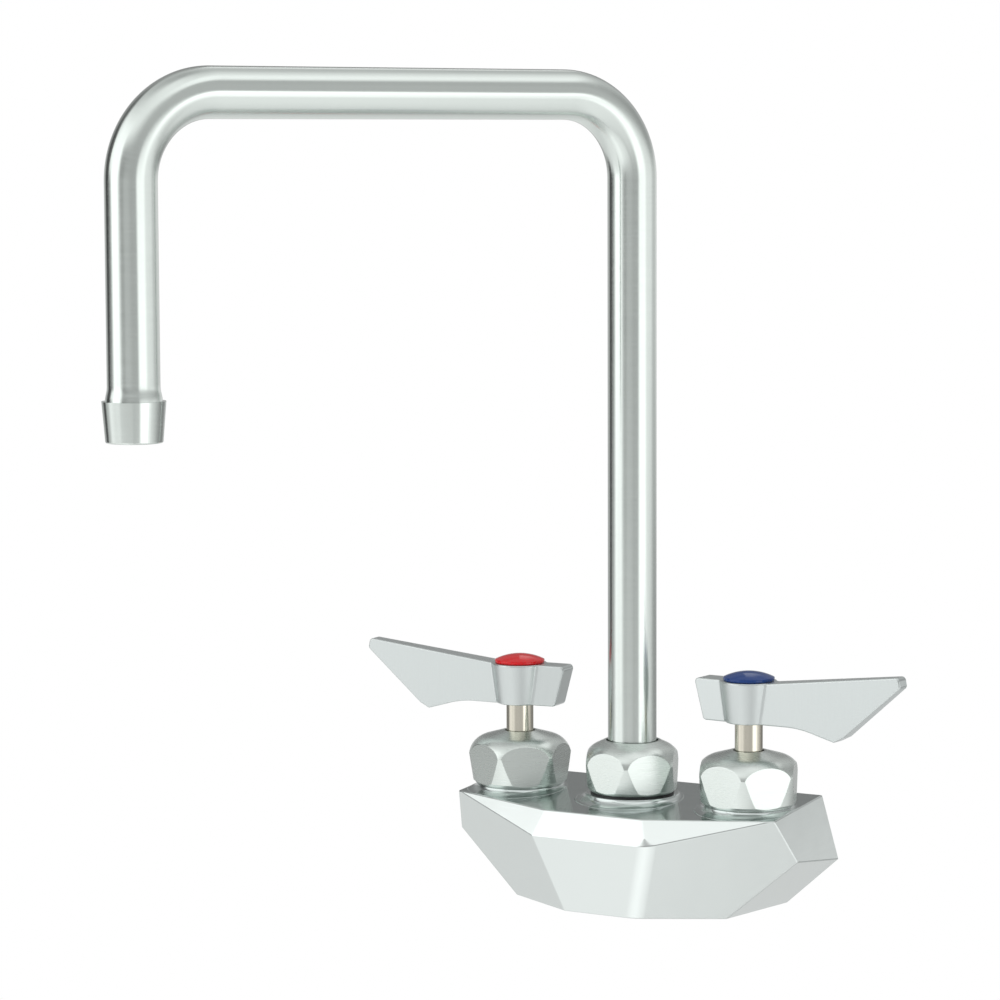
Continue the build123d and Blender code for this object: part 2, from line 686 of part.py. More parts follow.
def aerator_insert():
    plate = disc(HOUSING_BORE - RUNNING_GAP, INSERT_FOOT, INSERT_FOOT + INSERT_THICK)
    top = INSERT_FOOT + INSERT_THICK
    for hole in holes_in_rings(
        INSERT_HOLE_RADIUS, INSERT_HOLE_RINGS, INSERT_HOLE_PITCH, INSERT_FOOT, top
    ):
        plate -= hole
    return plate


def aerator_screens():
    screens = []
    for number in range(SCREEN_COUNT):
        foot = INSERT_FOOT + INSERT_THICK + number * SCREEN_THICK
        top = foot + SCREEN_THICK
        screen = disc(HOUSING_BORE - RUNNING_GAP, foot, top)
        for hole in holes_in_rings(
            SCREEN_HOLE_RADIUS, SCREEN_HOLE_RINGS, SCREEN_HOLE_PITCH, foot, top
        ):
            screen -= hole
        screens.append(screen)
    return screens


def flow_restrictor():
    plate = disc(HOUSING_BORE - RUNNING_GAP, RESTRICTOR_FOOT, WASHER_FOOT)
    for number in range(RESTRICTOR_HOLE_COUNT):
        hole = disc(RESTRICTOR_HOLE_RADIUS, RESTRICTOR_FOOT, WASHER_FOOT)
        turn = Rot(0, 0, 360 * number / RESTRICTOR_HOLE_COUNT)
        plate -= turn * Pos(RESTRICTOR_HOLE_PLACE, 0, 0) * hole
    return plate


def aerator_washer():
    return ring(HOUSING_BORE - RUNNING_GAP, ADAPTER_BORE, WASHER_FOOT, ADAPTER_FOOT)


# Placing and saving

def solids_of(shape):
    """The separate solids of one shape or of a list of shapes."""
    if isinstance(shape, list):
        return [solid for item in shape for solid in item.solids()]
    return list(shape.solids())


def save(name, shape, place):
    """Write one node, with every solid moved to its place on the faucet."""
    placed = [place * solid for solid in solids_of(shape)]
    node = placed[0] if len(placed) == 1 else Compound(children=placed)
    node.label = name
    export_step(node, os.path.join("parts", name + ".step"))


def still_valve_pieces(nut_turn):
    """The pieces of one valve that stay still, by their plain names."""
    return {
        "bonnet_nut": bonnet_nut(nut_turn),
        "cartridge_body": cartridge_body(),
        "cartridge_o_ring": cartridge_o_ring(),
        "seat_seal": seat_seal(),
        "fixed_disc": fixed_disc(),
    }


def turning_valve_pieces():
    """The pieces of one valve that turn with its lever, by their plain names."""
    return {
        "moving_disc": moving_disc(),
        "stem": stem(),
        "stem_o_ring": stem_o_ring(),
        "stem_clip": stem_clip(),
        "handle": handle(),
        "handle_screw": handle_screw(),
        "index_button": index_button(),
    }


def main():
    os.makedirs("parts", exist_ok=True)
    centre = Pos(0, -STEM_OUT, TOP_LEVEL)
    save("valve_body", valve_body(), centre)
    half = VALVE_SPACING / 2
    for side, x, facing, forward, nut_turn in (
        ("hot", -half, HOT_FACING, LEVER_FORWARD, HOT_NUT_TURN),
        ("cold", half, COLD_FACING, -LEVER_FORWARD, COLD_NUT_TURN),
    ):
        place = Pos(x, -STEM_OUT, TOP_LEVEL) * Rot(0, 0, facing)
        for name, shape in still_valve_pieces(nut_turn - facing).items():
            save(side + "_" + name, shape, place)
        turned = place * Rot(0, 0, forward)
        for name, shape in turning_valve_pieces().items():
            save(side + "_" + name, shape, turned)
    save("spout_nut", spout_nut(), centre)
    save("spout_gasket", spout_gasket(), centre)
    save("spout_bearing_ring", spout_bearing_ring(), centre)
    swung = centre * Rot(0, 0, -SPOUT_SWING)
    save("spout_tube", spout_tube(), swung)
    save("spout_base_sleeve", spout_base_sleeve(), swung)
    save("spout_o_rings", spout_o_rings(), swung)
    outlet = swung * Pos(0, -SPOUT_REACH, 0)
    save("outlet_adapter", outlet_adapter(), outlet)
    save("aerator_housing", aerator_housing(), outlet)
    save("aerator_insert", aerator_insert(), outlet)
    save("aerator_screens", aerator_screens(), outlet)
    save("flow_restrictor", flow_restrictor(), outlet)
    save("aerator_washer", aerator_washer(), outlet)


main()
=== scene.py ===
# Dresses the wall-mounted faucet: satin chrome finishes, softened edges, a perforated outlet and a studio
import math

import bmesh
import bpy
from mathutils import Matrix, Vector


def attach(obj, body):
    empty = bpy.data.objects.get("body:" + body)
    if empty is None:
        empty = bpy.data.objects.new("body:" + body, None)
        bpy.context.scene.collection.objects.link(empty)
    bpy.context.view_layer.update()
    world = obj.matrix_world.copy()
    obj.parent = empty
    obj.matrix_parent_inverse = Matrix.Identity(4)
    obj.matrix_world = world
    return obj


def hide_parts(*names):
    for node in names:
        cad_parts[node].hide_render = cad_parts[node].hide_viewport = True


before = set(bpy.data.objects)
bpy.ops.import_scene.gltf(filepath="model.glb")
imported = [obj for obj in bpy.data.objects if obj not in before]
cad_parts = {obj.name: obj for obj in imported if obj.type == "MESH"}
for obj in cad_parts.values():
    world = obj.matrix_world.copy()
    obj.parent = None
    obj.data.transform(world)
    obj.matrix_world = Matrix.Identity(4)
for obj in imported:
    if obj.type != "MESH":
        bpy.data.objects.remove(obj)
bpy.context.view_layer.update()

bl_info = {
    "name": "Wall Faucet Finishes",
    "version": (1, 0, 0),
    "blender": (4, 5, 0),
    "location": "3D View > Sidebar > Faucet",
    "description": "Gives the faucet its plated finishes, soft edges, outlet and studio",
    "category": "Object",
}

MM = 0.001

# Layout, in millimetres: the same sizes as the solids
VALVE_SPACING = 101.6
STEM_OUT = 28.6
TOP_LEVEL = 21.0
SPOUT_SWING = math.radians(27.0)

# Each valve's distance to the right of the riser
VALVES = {"hot": -VALVE_SPACING / 2, "cold": VALVE_SPACING / 2}

# Casting, its right half: half width, distance in front of the stem line, depth under the top
BODY_HEIGHT = 42.3
TOP_SLOPE = 0.068
FRONT_TOP_HALF = 21.2
FRONT_TOP_OUT = 32.1
KNEE_HALF = 24.85
KNEE_OUT = 36.0
KNEE_DOWN = 12.1
FRONT_FOOT_OUT = 27.5
SIDE_HALF = 74.6
SIDE_OUT = 6.0
SIDE_DOWN = 18.2
SIDE_FOOT_HALF = 46.55
SIDE_FOOT_OUT = 10.4
REAR_TOP_HALF = 68.75
REAR_HALF = 75.85
REAR_DOWN = 22.7

# How the casting's edges are rounded, and the angles that tell which edge or facet is meant
SOFT_EDGE_STEPS = 10
CRISP_EDGE_STEPS = 4
CRISP_ANGLE = math.radians(10)
SAME_FACET_ANGLE = 0.01
TOP_FACET_ANGLE = 0.05
CUT_TOLERANCE = 0.0001
FACE_AREA_WEIGHT = 100

# The casting's finishes, by their place in its list of materials. The second one, on the top and the bosses,
# has a darker colour than the same plate on the facets: painted shade.
SATIN, BUFFED_PAINTED_SHADE, BORED = range(3)

# Bosses under the nuts. A boss has its full blend where it stands BOSS_FULL_HEIGHT above the top.
# It is rooted BOSS_ROOT deep and stays BOSS_INSET inside the facets.
VALVE_BOSS_RADIUS = 17.2
VALVE_BOSS_TOP = 1.3
SPOUT_BOSS_RADIUS = 18.0
SPOUT_BOSS_TOP = 1.6
BOSS_FULL_HEIGHT = 2.4
BOSS_LEAST_HEIGHT = 0.3
BOSS_ROOT = 1.0
BOSS_INSET = 0.3
BOSS_SEGMENTS = 128
BLEND_STEPS = 12

# Threaded inlets in the wall face, whose passages end at the valve chambers
INLET_MOUTH_RADIUS = 10.7
INLET_MOUTH_DEPTH = 1.6
INLET_BORE_RADIUS = 9.1
INLET_BORE_DEPTH = 14.5
INLET_PASSAGE_RADIUS = 4.5
THREAD_PITCH = 1.814
THREAD_DEPTH = 0.8
INLET_OVERLAP = 0.5
INLET_SEGMENTS = 64
CHAMBER_RADIUS = 12.0

# Spout tube and outlet. The flare lies past FLARE_SHARE of the tube's route.
TUBE_RADIUS = 9.525
SPOUT_REACH = 216.0
SPOUT_RISE = 273.7
BEND_RADIUS = 31.75
TUBE_FOOT = -2.0
OUTLET_LEVEL = 149.4
HOUSING_TOP = OUTLET_LEVEL + 14.9
FLARE_RADIUS = 10.3
FLARE_LENGTH = 5.0
FLARE_SHARE = 0.6
BEND_STEPS = 48
TUBE_SIDES = 80
RING_SPACING = 1.0
INSERT_FOOT = OUTLET_LEVEL + 1.0
INSERT_THICK = 3.6
INSERT_RADIUS = 9.3
PLATE_SIDES = 96
HOLE_SIDES = 24
DRILL_THICKNESSES = 3.0
ROUNDING_ROOM = 0.01

# Colours that the panel doesn't list
BORED_BRASS = "#C4A05A"
TURNED_BRASS = "#C9A45C"
ALUMINA = "#EDEAE0"
STAINLESS = "#BFC0BF"
INNER_ACETAL = "#E6E6E1"
OUTLET_ACETAL = "#E4E4DF"
PAPER_DARK = "#EFEFEE"
PAPER_LIGHT = "#F7F7F6"
PLAIN_WHITE = (1.0, 1.0, 1.0, 1.0)

# A metal's pattern is its brush lines with this share of wider patches. Both keep nearly everywhere between
# the two noise levels.
PATCH_SHARE = 0.3
NOISE_LOW = 0.25
NOISE_HIGH = 0.75

# A moulded surface's mottle: its tone, and its depth in millimetres
MOTTLE_TONE = 0.05
MOTTLE_DEPTH = 0.002

# A turned face is level where its normal's rise is past the second value, and upright below the first
UPRIGHT_RISE = 0.15
LEVEL_RISE = 0.6

# Waves of the tube's grain per millimetre round it, and the rays that round an edge in a material
WAVES_ROUND_TUBE = 0.1
EDGE_SAMPLES = 6

# Photographer's camera: turn round the faucet, rise, roll, distance, offsets across and up, focal length
CAMERA_TURN = math.radians(30.229)
CAMERA_RISE = math.radians(5.546)
CAMERA_ROLL = math.radians(-0.233)
CAMERA_DISTANCE = 1390.2
CAMERA_ACROSS = -51.506
CAMERA_UP = 117.077
CAMERA_LENS = 128.43
SENSOR_WIDTH = 36.0

# The floor is a disc under the faucet, in metres, low enough to stay out of the photograph's view. Its paper
# fades out between two shares of its radius.
FLOOR_LEVEL = -0.8
FLOOR_FORWARD = 0.1
FLOOR_RADIUS = 0.5
FLOOR_SIDES = 96
FADE_START = 0.6
FADE_END = 0.98
FIBRES_PER_METRE = 180.0

# Brightness of the studio, in layers from the floor up. Each has the two heights between which it takes
# over, as the sine of the angle above eye level, and its stops by degrees to the right of the camera.
STUDIO = (
    # Down: the table and the floor, lit from above
    (-1.0, -0.9, (
        (-180, 0.92), (-133, 0.80), (-90, 1.00), (-66, 1.06), (-57, 1.10), (-47, 1.24), (-36, 1.34),
        (-26, 1.18), (-12, 1.08), (-1, 1.03), (5, 0.74), (15, 0.90), (52, 1.05), (66, 1.15), (78, 0.95),
        (100, 0.92), (120, 0.60), (140, 0.50), (155, 0.74), (180, 0.85),
    )),
    # Just below eye level: the foot of the soft lights, and of the dark card on the left, narrower here
    (-0.36, -0.22, (
        (-180, 0.50), (-140, 0.45), (-130, 0.08), (-118, 0.08), (-112, 0.62), (-103, 0.64), (-93, 1.12),
        (-86, 1.12), (-78, 1.00), (-67, 0.90), (-50, 0.96), (-43, 0.74), (-30, 0.66), (12, 0.62),
        (25, 0.66), (32, 1.80), (58, 1.80), (72, 0.95), (100, 0.45), (120, 0.24), (145, 0.24),
        (165, 0.60), (180, 0.50),
    )),
    # Eye level: a tall soft light on each side and a dark card on the left
    (-0.13, -0.05, (
        (-180, 0.62), (-142, 0.58), (-132, 0.30), (-124, 0.03), (-96, 0.03), (-90, 0.80), (-84, 1.85),
        (-55, 1.85), (-49, 0.70), (-41, 0.30), (-33, 0.20), (-24, 0.54), (-12, 0.56), (2, 0.40),
        (18, 0.36), (26, 0.45), (34, 1.70), (61, 1.75), (70, 1.35), (98, 1.38), (112, 0.92),
        (130, 0.82), (145, 0.95), (180, 0.60),
    )),
    # Above: dark room behind the faucet, with only the left light reaching up
    (0.05, 0.12, (
        (-180, 0.25), (-172, 0.27), (-162, 0.42), (-140, 0.32), (-130, 0.08), (-109, 0.15), (-102, 1.35),
        (-99, 1.45), (-50, 1.45), (-42, 0.40), (-28, 0.32), (0, 0.46), (50, 0.60), (80, 0.60),
        (112, 0.40), (130, 0.38), (150, 0.55), (163, 0.42), (172, 0.27), (180, 0.25),
    )),
    # High: the upper ends of the left light and the dark card, and the dim far wall
    (0.40, 0.52, (
        (-180, 0.40), (-150, 0.36), (-138, 0.15), (-118, 0.20), (-108, 1.10), (-84, 1.40), (-45, 1.40),
        (-15, 1.15), (20, 0.60), (60, 0.60), (110, 0.44), (142, 0.62), (165, 0.50), (172, 1.05),
        (180, 1.05),
    )),
    # Overhead: a broad soft light, nearer on the right
    (0.68, 0.76, (
        (-180, 0.62), (-145, 0.55), (-110, 0.70), (-82, 0.90), (0, 1.05), (75, 1.35), (100, 1.30),
        (132, 1.05), (148, 0.75), (180, 0.65),
    )),
    (0.86, 0.92, (
        (-180, 0.45), (-121, 0.55), (-55, 0.92), (29, 1.15), (109, 0.80), (180, 0.45),
    )),
)


# Sizes and colours that a user may change

def length_property(name, description, millimetres):
    return bpy.props.FloatProperty(
        name=name, description=description, default=millimetres * MM, min=0.0, unit="LENGTH"
    )


class FaucetSizes(bpy.types.PropertyGroup):
    edge_round: length_property("Facet edge round", "Radius of the casting's crisp edges", 0.45)
    soft_edge_round: length_property(
        "Soft edge round", "Radius of the hand-polished edge beside the front facet", 4.0
    )
    boss_blend: length_property(
        "Boss blend", "Width of the hollow where a boss runs into the casting's top", 5.0
    )
    hole_radius: length_property(
        "Outlet hole radius", "Radius of each hole in the outlet plate", 0.8
    )
    hole_pitch: length_property(
        "Outlet hole pitch", "Distance between the rings of holes in the outlet plate", 2.5
    )
    hole_rings: bpy.props.IntProperty(
        name="Outlet hole rings", description="Rings of holes around the middle one", default=3, min=1,
    )


def linear(hex_colour):
    """A linear RGBA colour from an sRGB hex value, by the curve of the sRGB standard."""
    channels = [int(hex_colour[start:start + 2], 16) / 255 for start in (1, 3, 5)]
    return tuple(
        c / 12.92 if c <= 0.04045 else ((c + 0.055) / 1.055) ** 2.4 for c in channels
    ) + (1.0,)


def colour_property(name, description, hex_colour):
    return bpy.props.FloatVectorProperty(
        name=name, description=description, default=linear(hex_colour), size=4,
        subtype="COLOR", min=0.0, max=1.0,
    )


class FaucetColours(bpy.types.PropertyGroup):
    casting: colour_property("Casting", "Satin chrome of the casting's facets", "#DDE3E1")
    # The casting top's colour is darker than the same chrome plate on the facets: painted shade.
    casting_top_painted_shade: colour_property("Casting top", "Buffed chrome of the casting's top", "#CDD5D3")
    nut: colour_property("Nuts", "Brushed chrome of the dome nuts", "#D8DFDB")
    lever: colour_property("Levers", "Matte chrome of the levers", "#CED4D3")
    tube: colour_property("Spout", "Chrome of the spout tube", "#D8DFDB")
    stem: colour_property("Stems", "Nickel of the stems", "#D9D5C7")
    hot: colour_property("Hot button", "Colour of the hot button", "#E00A16")
    cold: colour_property("Cold button", "Colour of the cold button", "#00387E")
    rubber: colour_property("Rubber", "Black rubber of the seals", "#1B1B1C")


# Node trees

def add_node(tree, kind, settings=None, inputs=None):
    """Add a node, set its properties, and set or link its inputs."""
    node = tree.nodes.new(kind)
    for name, value in (settings or {}).items():
        setattr(node, name, value)
    for key, value in (inputs or {}).items():
        if isinstance(value, bpy.types.NodeSocket):
            tree.links.new(value, node.inputs[key])
        else:
            node.inputs[key].default_value = value
    return node


def new_material(name):
    material = bpy.data.materials.new(name)
    material.use_nodes = True
    material.node_tree.nodes.clear()
    return material


def shades(tree, factor, colour, tone):
    """A colour that runs from a little darker to a little lighter than the given one."""
    dark = tuple(channel * (1 - tone) for channel in colour[:3]) + (1.0,)
    light = tuple(min(1.0, channel * (1 + tone)) for channel in colour[:3]) + (1.0,)
    return add_node(
        tree, "ShaderNodeMix", {"data_type": "RGBA"}, {"Factor": factor, 6: dark, 7: light}
    ).outputs[2]


def place_in_millimetres(tree, centre):
    """Where a point of the surface is, in millimetres from a piece's own centre."""
    coordinates = add_node(tree, "ShaderNodeTexCoord")
    mapping = add_node(
        tree, "ShaderNodeMapping", {"vector_type": "TEXTURE"},
        {"Vector": coordinates.outputs["Object"], "Location": centre, "Scale": (MM, MM, MM)},
    )
    return mapping.outputs["Vector"]


def straight_grain(tree, place, lines_per_mm):
    """Brush lines along the axis that has the fewest lines per millimetre."""
    scaled = add_node(
        tree, "ShaderNodeVectorMath", {"operation": "MULTIPLY"}, {0: place, 1: lines_per_mm}
    )
    return scaled.outputs["Vector"]


def turned_grain(tree, place, lines_per_mm):
    """Fine rings round the Z axis, by height on upright walls and by radius on level faces."""
    axes = add_node(tree, "ShaderNodeSeparateXYZ", inputs={0: place})
    flat = add_node(
        tree, "ShaderNodeVectorMath", {"operation": "MULTIPLY"}, {0: place, 1: (1.0, 1.0, 0.0)}
    )
    radius = add_node(
        tree, "ShaderNodeVectorMath", {"operation": "LENGTH"}, {0: flat.outputs["Vector"]}
    )
    geometry = add_node(tree, "ShaderNodeNewGeometry")
    facing = add_node(tree, "ShaderNodeSeparateXYZ", inputs={0: geometry.outputs["Normal"]})
    lying = add_node(
        tree, "ShaderNodeMapRange", {"interpolation_type": "SMOOTHSTEP"},
        {"Value": facing.outputs["Z"], "From Min": UPRIGHT_RISE, "From Max": LEVEL_RISE},
    )
    across = add_node(
        tree, "ShaderNodeMix",
        inputs={"Factor": lying.outputs[0], 2: axes.outputs["Z"], 3: radius.outputs["Value"]},
    )
    lines = add_node(
        tree, "ShaderNodeMath", {"operation": "MULTIPLY"}, {0: across.outputs[0], 1: lines_per_mm}
    )
    around = add_node(
        tree, "ShaderNodeMath", {"operation": "ARCTAN2"}, {0: axes.outputs["Y"], 1: axes.outputs["X"]}
    )
    return add_node(
        tree, "ShaderNodeCombineXYZ", inputs={0: lines.outputs[0], 1: around.outputs[0]}
    ).outputs[0]


def upright(tree):
    """The direction in which level brush lines spread a reflection."""
    return add_node(tree, "ShaderNodeCombineXYZ", inputs={2: 1.0}).outputs[0]


def along_route(tree):
    """The direction of the tube's route at a point of its skin."""
    return add_node(
        tree, "ShaderNodeAttribute", {"attribute_type": "GEOMETRY", "attribute_name": "route"}
    ).outputs["Vector"]


def route_grain(tree, place, lines_per_mm):
    """Fine rings round the tube, by the distance run along its route."""
    run = add_node(
        tree, "ShaderNodeAttribute", {"attribute_type": "GEOMETRY", "attribute_name": "run"}
    )
    lines = add_node(
        tree, "ShaderNodeMath", {"operation": "MULTIPLY"}, {0: run.outputs["Fac"], 1: lines_per_mm}
    )
    coarse = add_node(
        tree, "ShaderNodeVectorMath", {"operation": "SCALE"}, {0: place, "Scale": WAVES_ROUND_TUBE}
    )
    axes = add_node(tree, "ShaderNodeSeparateXYZ", inputs={0: coarse.outputs[0]})
    return add_node(
        tree, "ShaderNodeCombineXYZ",
        inputs={0: lines.outputs[0], 1: axes.outputs["X"], 2: axes.outputs["Y"]},
    ).outputs[0]


def relief(tree, height, depth_mm, edge_mm):
    """The surface's direction with its fine relief, and with its edges rounded where they have a radius."""
    bump = add_node(tree, "ShaderNodeBump", inputs={"Distance": depth_mm * MM, "Height": height})
    if edge_mm:
        rounded = add_node(
            tree, "ShaderNodeBevel", {"samples": EDGE_SAMPLES}, {"Radius": edge_mm * MM}
        )
        tree.links.new(rounded.outputs[0], bump.inputs["Normal"])
    return bump


def metal(name, colour, roughness, grain, lines_per_mm, centre=(0.0, 0.0, 0.0), spread=0.06,
          tone=0.06, depth_mm=0.004, patch_mm=14.0, ripple_mm=0.0, edge_mm=0.0, brushed=0.0, smear=None):
    """A plated metal with brush lines in its tone, roughness and relief, and faint wider patches."""
    material = new_material(name)
    tree = material.node_tree
    place = place_in_millimetres(tree, centre)
    lines = add_node(
        tree, "ShaderNodeTexNoise",
        inputs={"Vector": grain(tree, place, lines_per_mm), "Scale": 1.0, "Detail": 3.0, "Roughness": 0.6},
    )
    patches = add_node(
        tree, "ShaderNodeTexNoise", inputs={"Vector": place, "Scale": 1.0 / patch_mm, "Detail": 2.0}
    )
    both = add_node(
        tree, "ShaderNodeMix",
        inputs={"Factor": PATCH_SHARE, 2: lines.outputs[0], 3: patches.outputs[0]},
    )
    rough = add_node(
        tree, "ShaderNodeMapRange",
        inputs={"Value": both.outputs[0], "From Min": NOISE_LOW, "From Max": NOISE_HIGH,
                "To Min": roughness - spread, "To Max": roughness + spread},
    )
    grooves = relief(tree, lines.outputs[0], depth_mm, edge_mm)
    if ripple_mm:
        waves = relief(tree, patches.outputs[0], ripple_mm, 0.0)
        tree.links.new(waves.outputs[0], grooves.inputs["Normal"])
    shader = add_node(
        tree, "ShaderNodeBsdfPrincipled",
        inputs={"Base Color": shades(tree, both.outputs[0], colour, tone), "Metallic": 1.0,
                "Roughness": rough.outputs[0], "Anisotropic": brushed, "Normal": grooves.outputs[0]},
    )
    if smear:
        tree.links.new(smear(tree), shader.inputs["Tangent"])
    add_node(tree, "ShaderNodeOutputMaterial", inputs={"Surface": shader.outputs[0]})
    return material


def moulded(name, colour, roughness, ior, speck_mm, spread=0.04, edge_mm=0.0):
    """A plastic, rubber or ceramic with a fine mottle in its tone, roughness and relief."""
    material = new_material(name)
    tree = material.node_tree
    place = place_in_millimetres(tree, (0.0, 0.0, 0.0))
    mottle = add_node(
        tree, "ShaderNodeTexNoise", inputs={"Vector": place, "Scale": 1.0 / speck_mm, "Detail": 3.0}
    )
    rough = add_node(
        tree, "ShaderNodeMapRange",
        inputs={"Value": mottle.outputs[0], "To Min": roughness - spread, "To Max": roughness + spread},
    )
    skin = relief(tree, mottle.outputs[0], MOTTLE_DEPTH, edge_mm)
    shader = add_node(
        tree, "ShaderNodeBsdfPrincipled",
        inputs={"Base Color": shades(tree, mottle.outputs[0], colour, MOTTLE_TONE),
                "Roughness": rough.outputs[0], "IOR": ior, "Normal": skin.outputs[0]},
    )
    add_node(tree, "ShaderNodeOutputMaterial", inputs={"Surface": shader.outputs[0]})
    return material


# Meshes

def at_faucet():
    """From millimetres round the riser to metres on the faucet."""
    return Matrix.Translation(Vector((0.0, -STEM_OUT, TOP_LEVEL)) * MM) @ Matrix.Scale(MM, 4)


def centre_at(x, y=0.0):
    """Where an upright axis, so many millimetres from the riser, meets the casting's top, in metres."""
    return (x * MM, (y - STEM_OUT) * MM, TOP_LEVEL * MM)


def link_mesh(name, mesh, materials):
    """An object at the origin with its place in its mesh."""
    for material in materials:
        mesh.materials.append(material)
    piece = bpy.data.objects.new(name, mesh)
    bpy.context.scene.collection.objects.link(piece)
    return piece


def finished_mesh(shape, name):
    """The mesh of a shape that is done; the shape itself is freed."""
    mesh = bpy.data.meshes.new(name)
    shape.to_mesh(mesh)
    shape.free()
    return mesh


def join_rings(mesh, rings):
    """Walls between rings of points that follow each other, and a lid on both ends."""
    for upper, lower in zip(rings, rings[1:]):
        for number in range(len(upper)):
            after = (number + 1) % len(upper)
            mesh.faces.new((upper[number], lower[number], lower[after], upper[after]))
    mesh.faces.new(rings[0])
    mesh.faces.new(list(reversed(rings[-1])))


def plain_mesh(source, name):
    """The mesh of an object with its modifiers worked in; the object itself is taken away."""
    bpy.context.view_layer.update()
    graph = bpy.context.evaluated_depsgraph_get()
    mesh = bpy.data.meshes.new_from_object(source.evaluated_get(graph), depsgraph=graph)
    mesh.name = name
    bpy.data.objects.remove(source)
    return mesh


def flat_faces_stay_flat(piece):
    """Work out normals in which the big faces outweigh the small ones of a rounded edge."""
    for face in piece.data.polygons:
        face.use_smooth = True
    weighted = piece.modifiers.new("Normals", "WEIGHTED_NORMAL")
    weighted.keep_sharp = True
    weighted.weight = FACE_AREA_WEIGHT
    name = piece.name
    return link_mesh(name, plain_mesh(piece, name), [])


def dress(names, material):
    """Give solids that are right as they are their finish."""
    for name in names:
        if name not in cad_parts:
            raise RuntimeError("The packed model has no node called " + name)
        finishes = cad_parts[name].data.materials
        finishes.clear()
        finishes.append(material)


# The casting

def facet(first, second, third):
    """A point and the outward direction of the facet through three corners."""
    first, second, third = Vector(first), Vector(second), Vector(third)
    normal = (second - first).cross(third - first).normalized()
    middle = Vector((0.0, 0.0, -BODY_HEIGHT / 2))
    if normal.dot(middle - first) > 0:
        normal.negate()
    return first, normal


def meeting_point(planes):
    """The point that three planes share."""
    (p, a), (q, b), (r, c) = planes
    total = b.cross(c) * p.dot(a) + c.cross(a) * q.dot(b) + a.cross(b) * r.dot(c)
    return total / a.dot(b.cross(c))


def side_facets(side):
    """The facets on one side of the casting: 1 is the right side and -1 the left."""
    front_top = (side * FRONT_TOP_HALF, -FRONT_TOP_OUT, -TOP_SLOPE * FRONT_TOP_OUT)
    knee = (side * KNEE_HALF, -KNEE_OUT, -KNEE_DOWN)
    flank = (side * SIDE_HALF, -SIDE_OUT, -SIDE_DOWN)
    side_foot = (side * SIDE_FOOT_HALF, -SIDE_FOOT_OUT, -BODY_HEIGHT)
    rear_top = (side * REAR_TOP_HALF, STEM_OUT, TOP_SLOPE * STEM_OUT)
    rear = (side * REAR_HALF, STEM_OUT, -REAR_DOWN)
    big_side = facet(knee, flank, side_foot)
    upper_end = facet(rear_top, rear, flank)
    lower_end = facet(flank, rear, side_foot)
    shoulder = meeting_point([top_facet(), big_side, upper_end])
    return [big_side, upper_end, lower_end, facet(front_top, knee, shoulder)]


def top_facet():
    return Vector((0.0, 0.0, 0.0)), Vector((0.0, -TOP_SLOPE, 1.0)).normalized()


def wall_facets():
    """Every facet but the top, with the bottom and the wall face."""
    knees = [(half, -KNEE_OUT, -KNEE_DOWN) for half in (KNEE_HALF, -KNEE_HALF)]
    front_chamfer = facet((0.0, -FRONT_TOP_OUT, -TOP_SLOPE * FRONT_TOP_OUT), *knees)
    front = facet((0.0, -FRONT_FOOT_OUT, -BODY_HEIGHT), *knees)
    bottom = Vector((0.0, 0.0, -BODY_HEIGHT)), Vector((0.0, 0.0, -1.0))
    wall = Vector((0.0, STEM_OUT, 0.0)), Vector((0.0, 1.0, 0.0))
    return [front_chamfer, front, bottom, wall] + side_facets(1) + side_facets(-1)


def cut_off(mesh, point, normal):
    """Take away what stands outside a plane and close the cut."""
    everything = mesh.verts[:] + mesh.edges[:] + mesh.faces[:]
    cut = bmesh.ops.bisect_plane(
        mesh, geom=everything, plane_co=point, plane_no=normal, clear_outer=True, dist=CUT_TOLERANCE
    )
    rim = [item for item in cut["geom_cut"] if isinstance(item, bmesh.types.BMEdge)]
    if rim:
        bmesh.ops.contextual_create(mesh, geom=rim)


def borders(edge, direction):
    """Whether a face beside an edge looks in a direction."""
    return any(face.normal.angle(direction) < SAME_FACET_ANGLE for face in edge.link_faces)


def round_edges(mesh, edges, radius, steps):
    bmesh.ops.bevel(mesh, geom=edges, offset=radius / MM, segments=steps, profile=0.5, affect="EDGES")


def casting_block(sizes):
    """The faceted block with its edges rounded."""
    block = bmesh.new()
    bmesh.ops.create_cube(block, size=4 * REAR_HALF)
    for point, normal in wall_facets() + [top_facet()]:
        cut_off(block, point, normal)
    front = wall_facets()[1][1]
    right = side_facets(1)[0][1]
    soft = [edge for edge in block.edges if borders(edge, front) and borders(edge, right)]
    if len(soft) != 1:
        raise RuntimeError("The casting has no edge between its front and its right facet")
    round_edges(block, soft, sizes.soft_edge_round, SOFT_EDGE_STEPS)
    crisp = [edge for edge in block.edges if edge.calc_face_angle(0.0) > CRISP_ANGLE]
    round_edges(block, crisp, sizes.edge_round, CRISP_EDGE_STEPS)
    return block


def add_boss(mesh, x, radius, top, blend_width):
    """A round boss whose foot runs out hollow into the sloping top, closed underneath."""
    rings = []
    for step in range(BLEND_STEPS + 1):
        turn = math.pi / 2 * step / BLEND_STEPS
        ring = []
        for number in range(BOSS_SEGMENTS):
            angle = 2 * math.pi * number / BOSS_SEGMENTS
            height = top - TOP_SLOPE * radius * math.sin(angle)
            width = blend_width * min(1.0, max(height, BOSS_LEAST_HEIGHT) / BOSS_FULL_HEIGHT)
            out = radius + width * (1 - math.cos(turn))
            y = out * math.sin(angle)
            rise = height * (1 - math.sin(turn))
            ring.append(mesh.verts.new((x + out * math.cos(angle), y, TOP_SLOPE * y + rise)))
        rings.append(ring)
    under = []
    for vertex in rings[-1]:
        under.append(mesh.verts.new(vertex.co - Vector((0.0, 0.0, BOSS_ROOT))))
    rings.append(under)
    join_rings(mesh, rings)


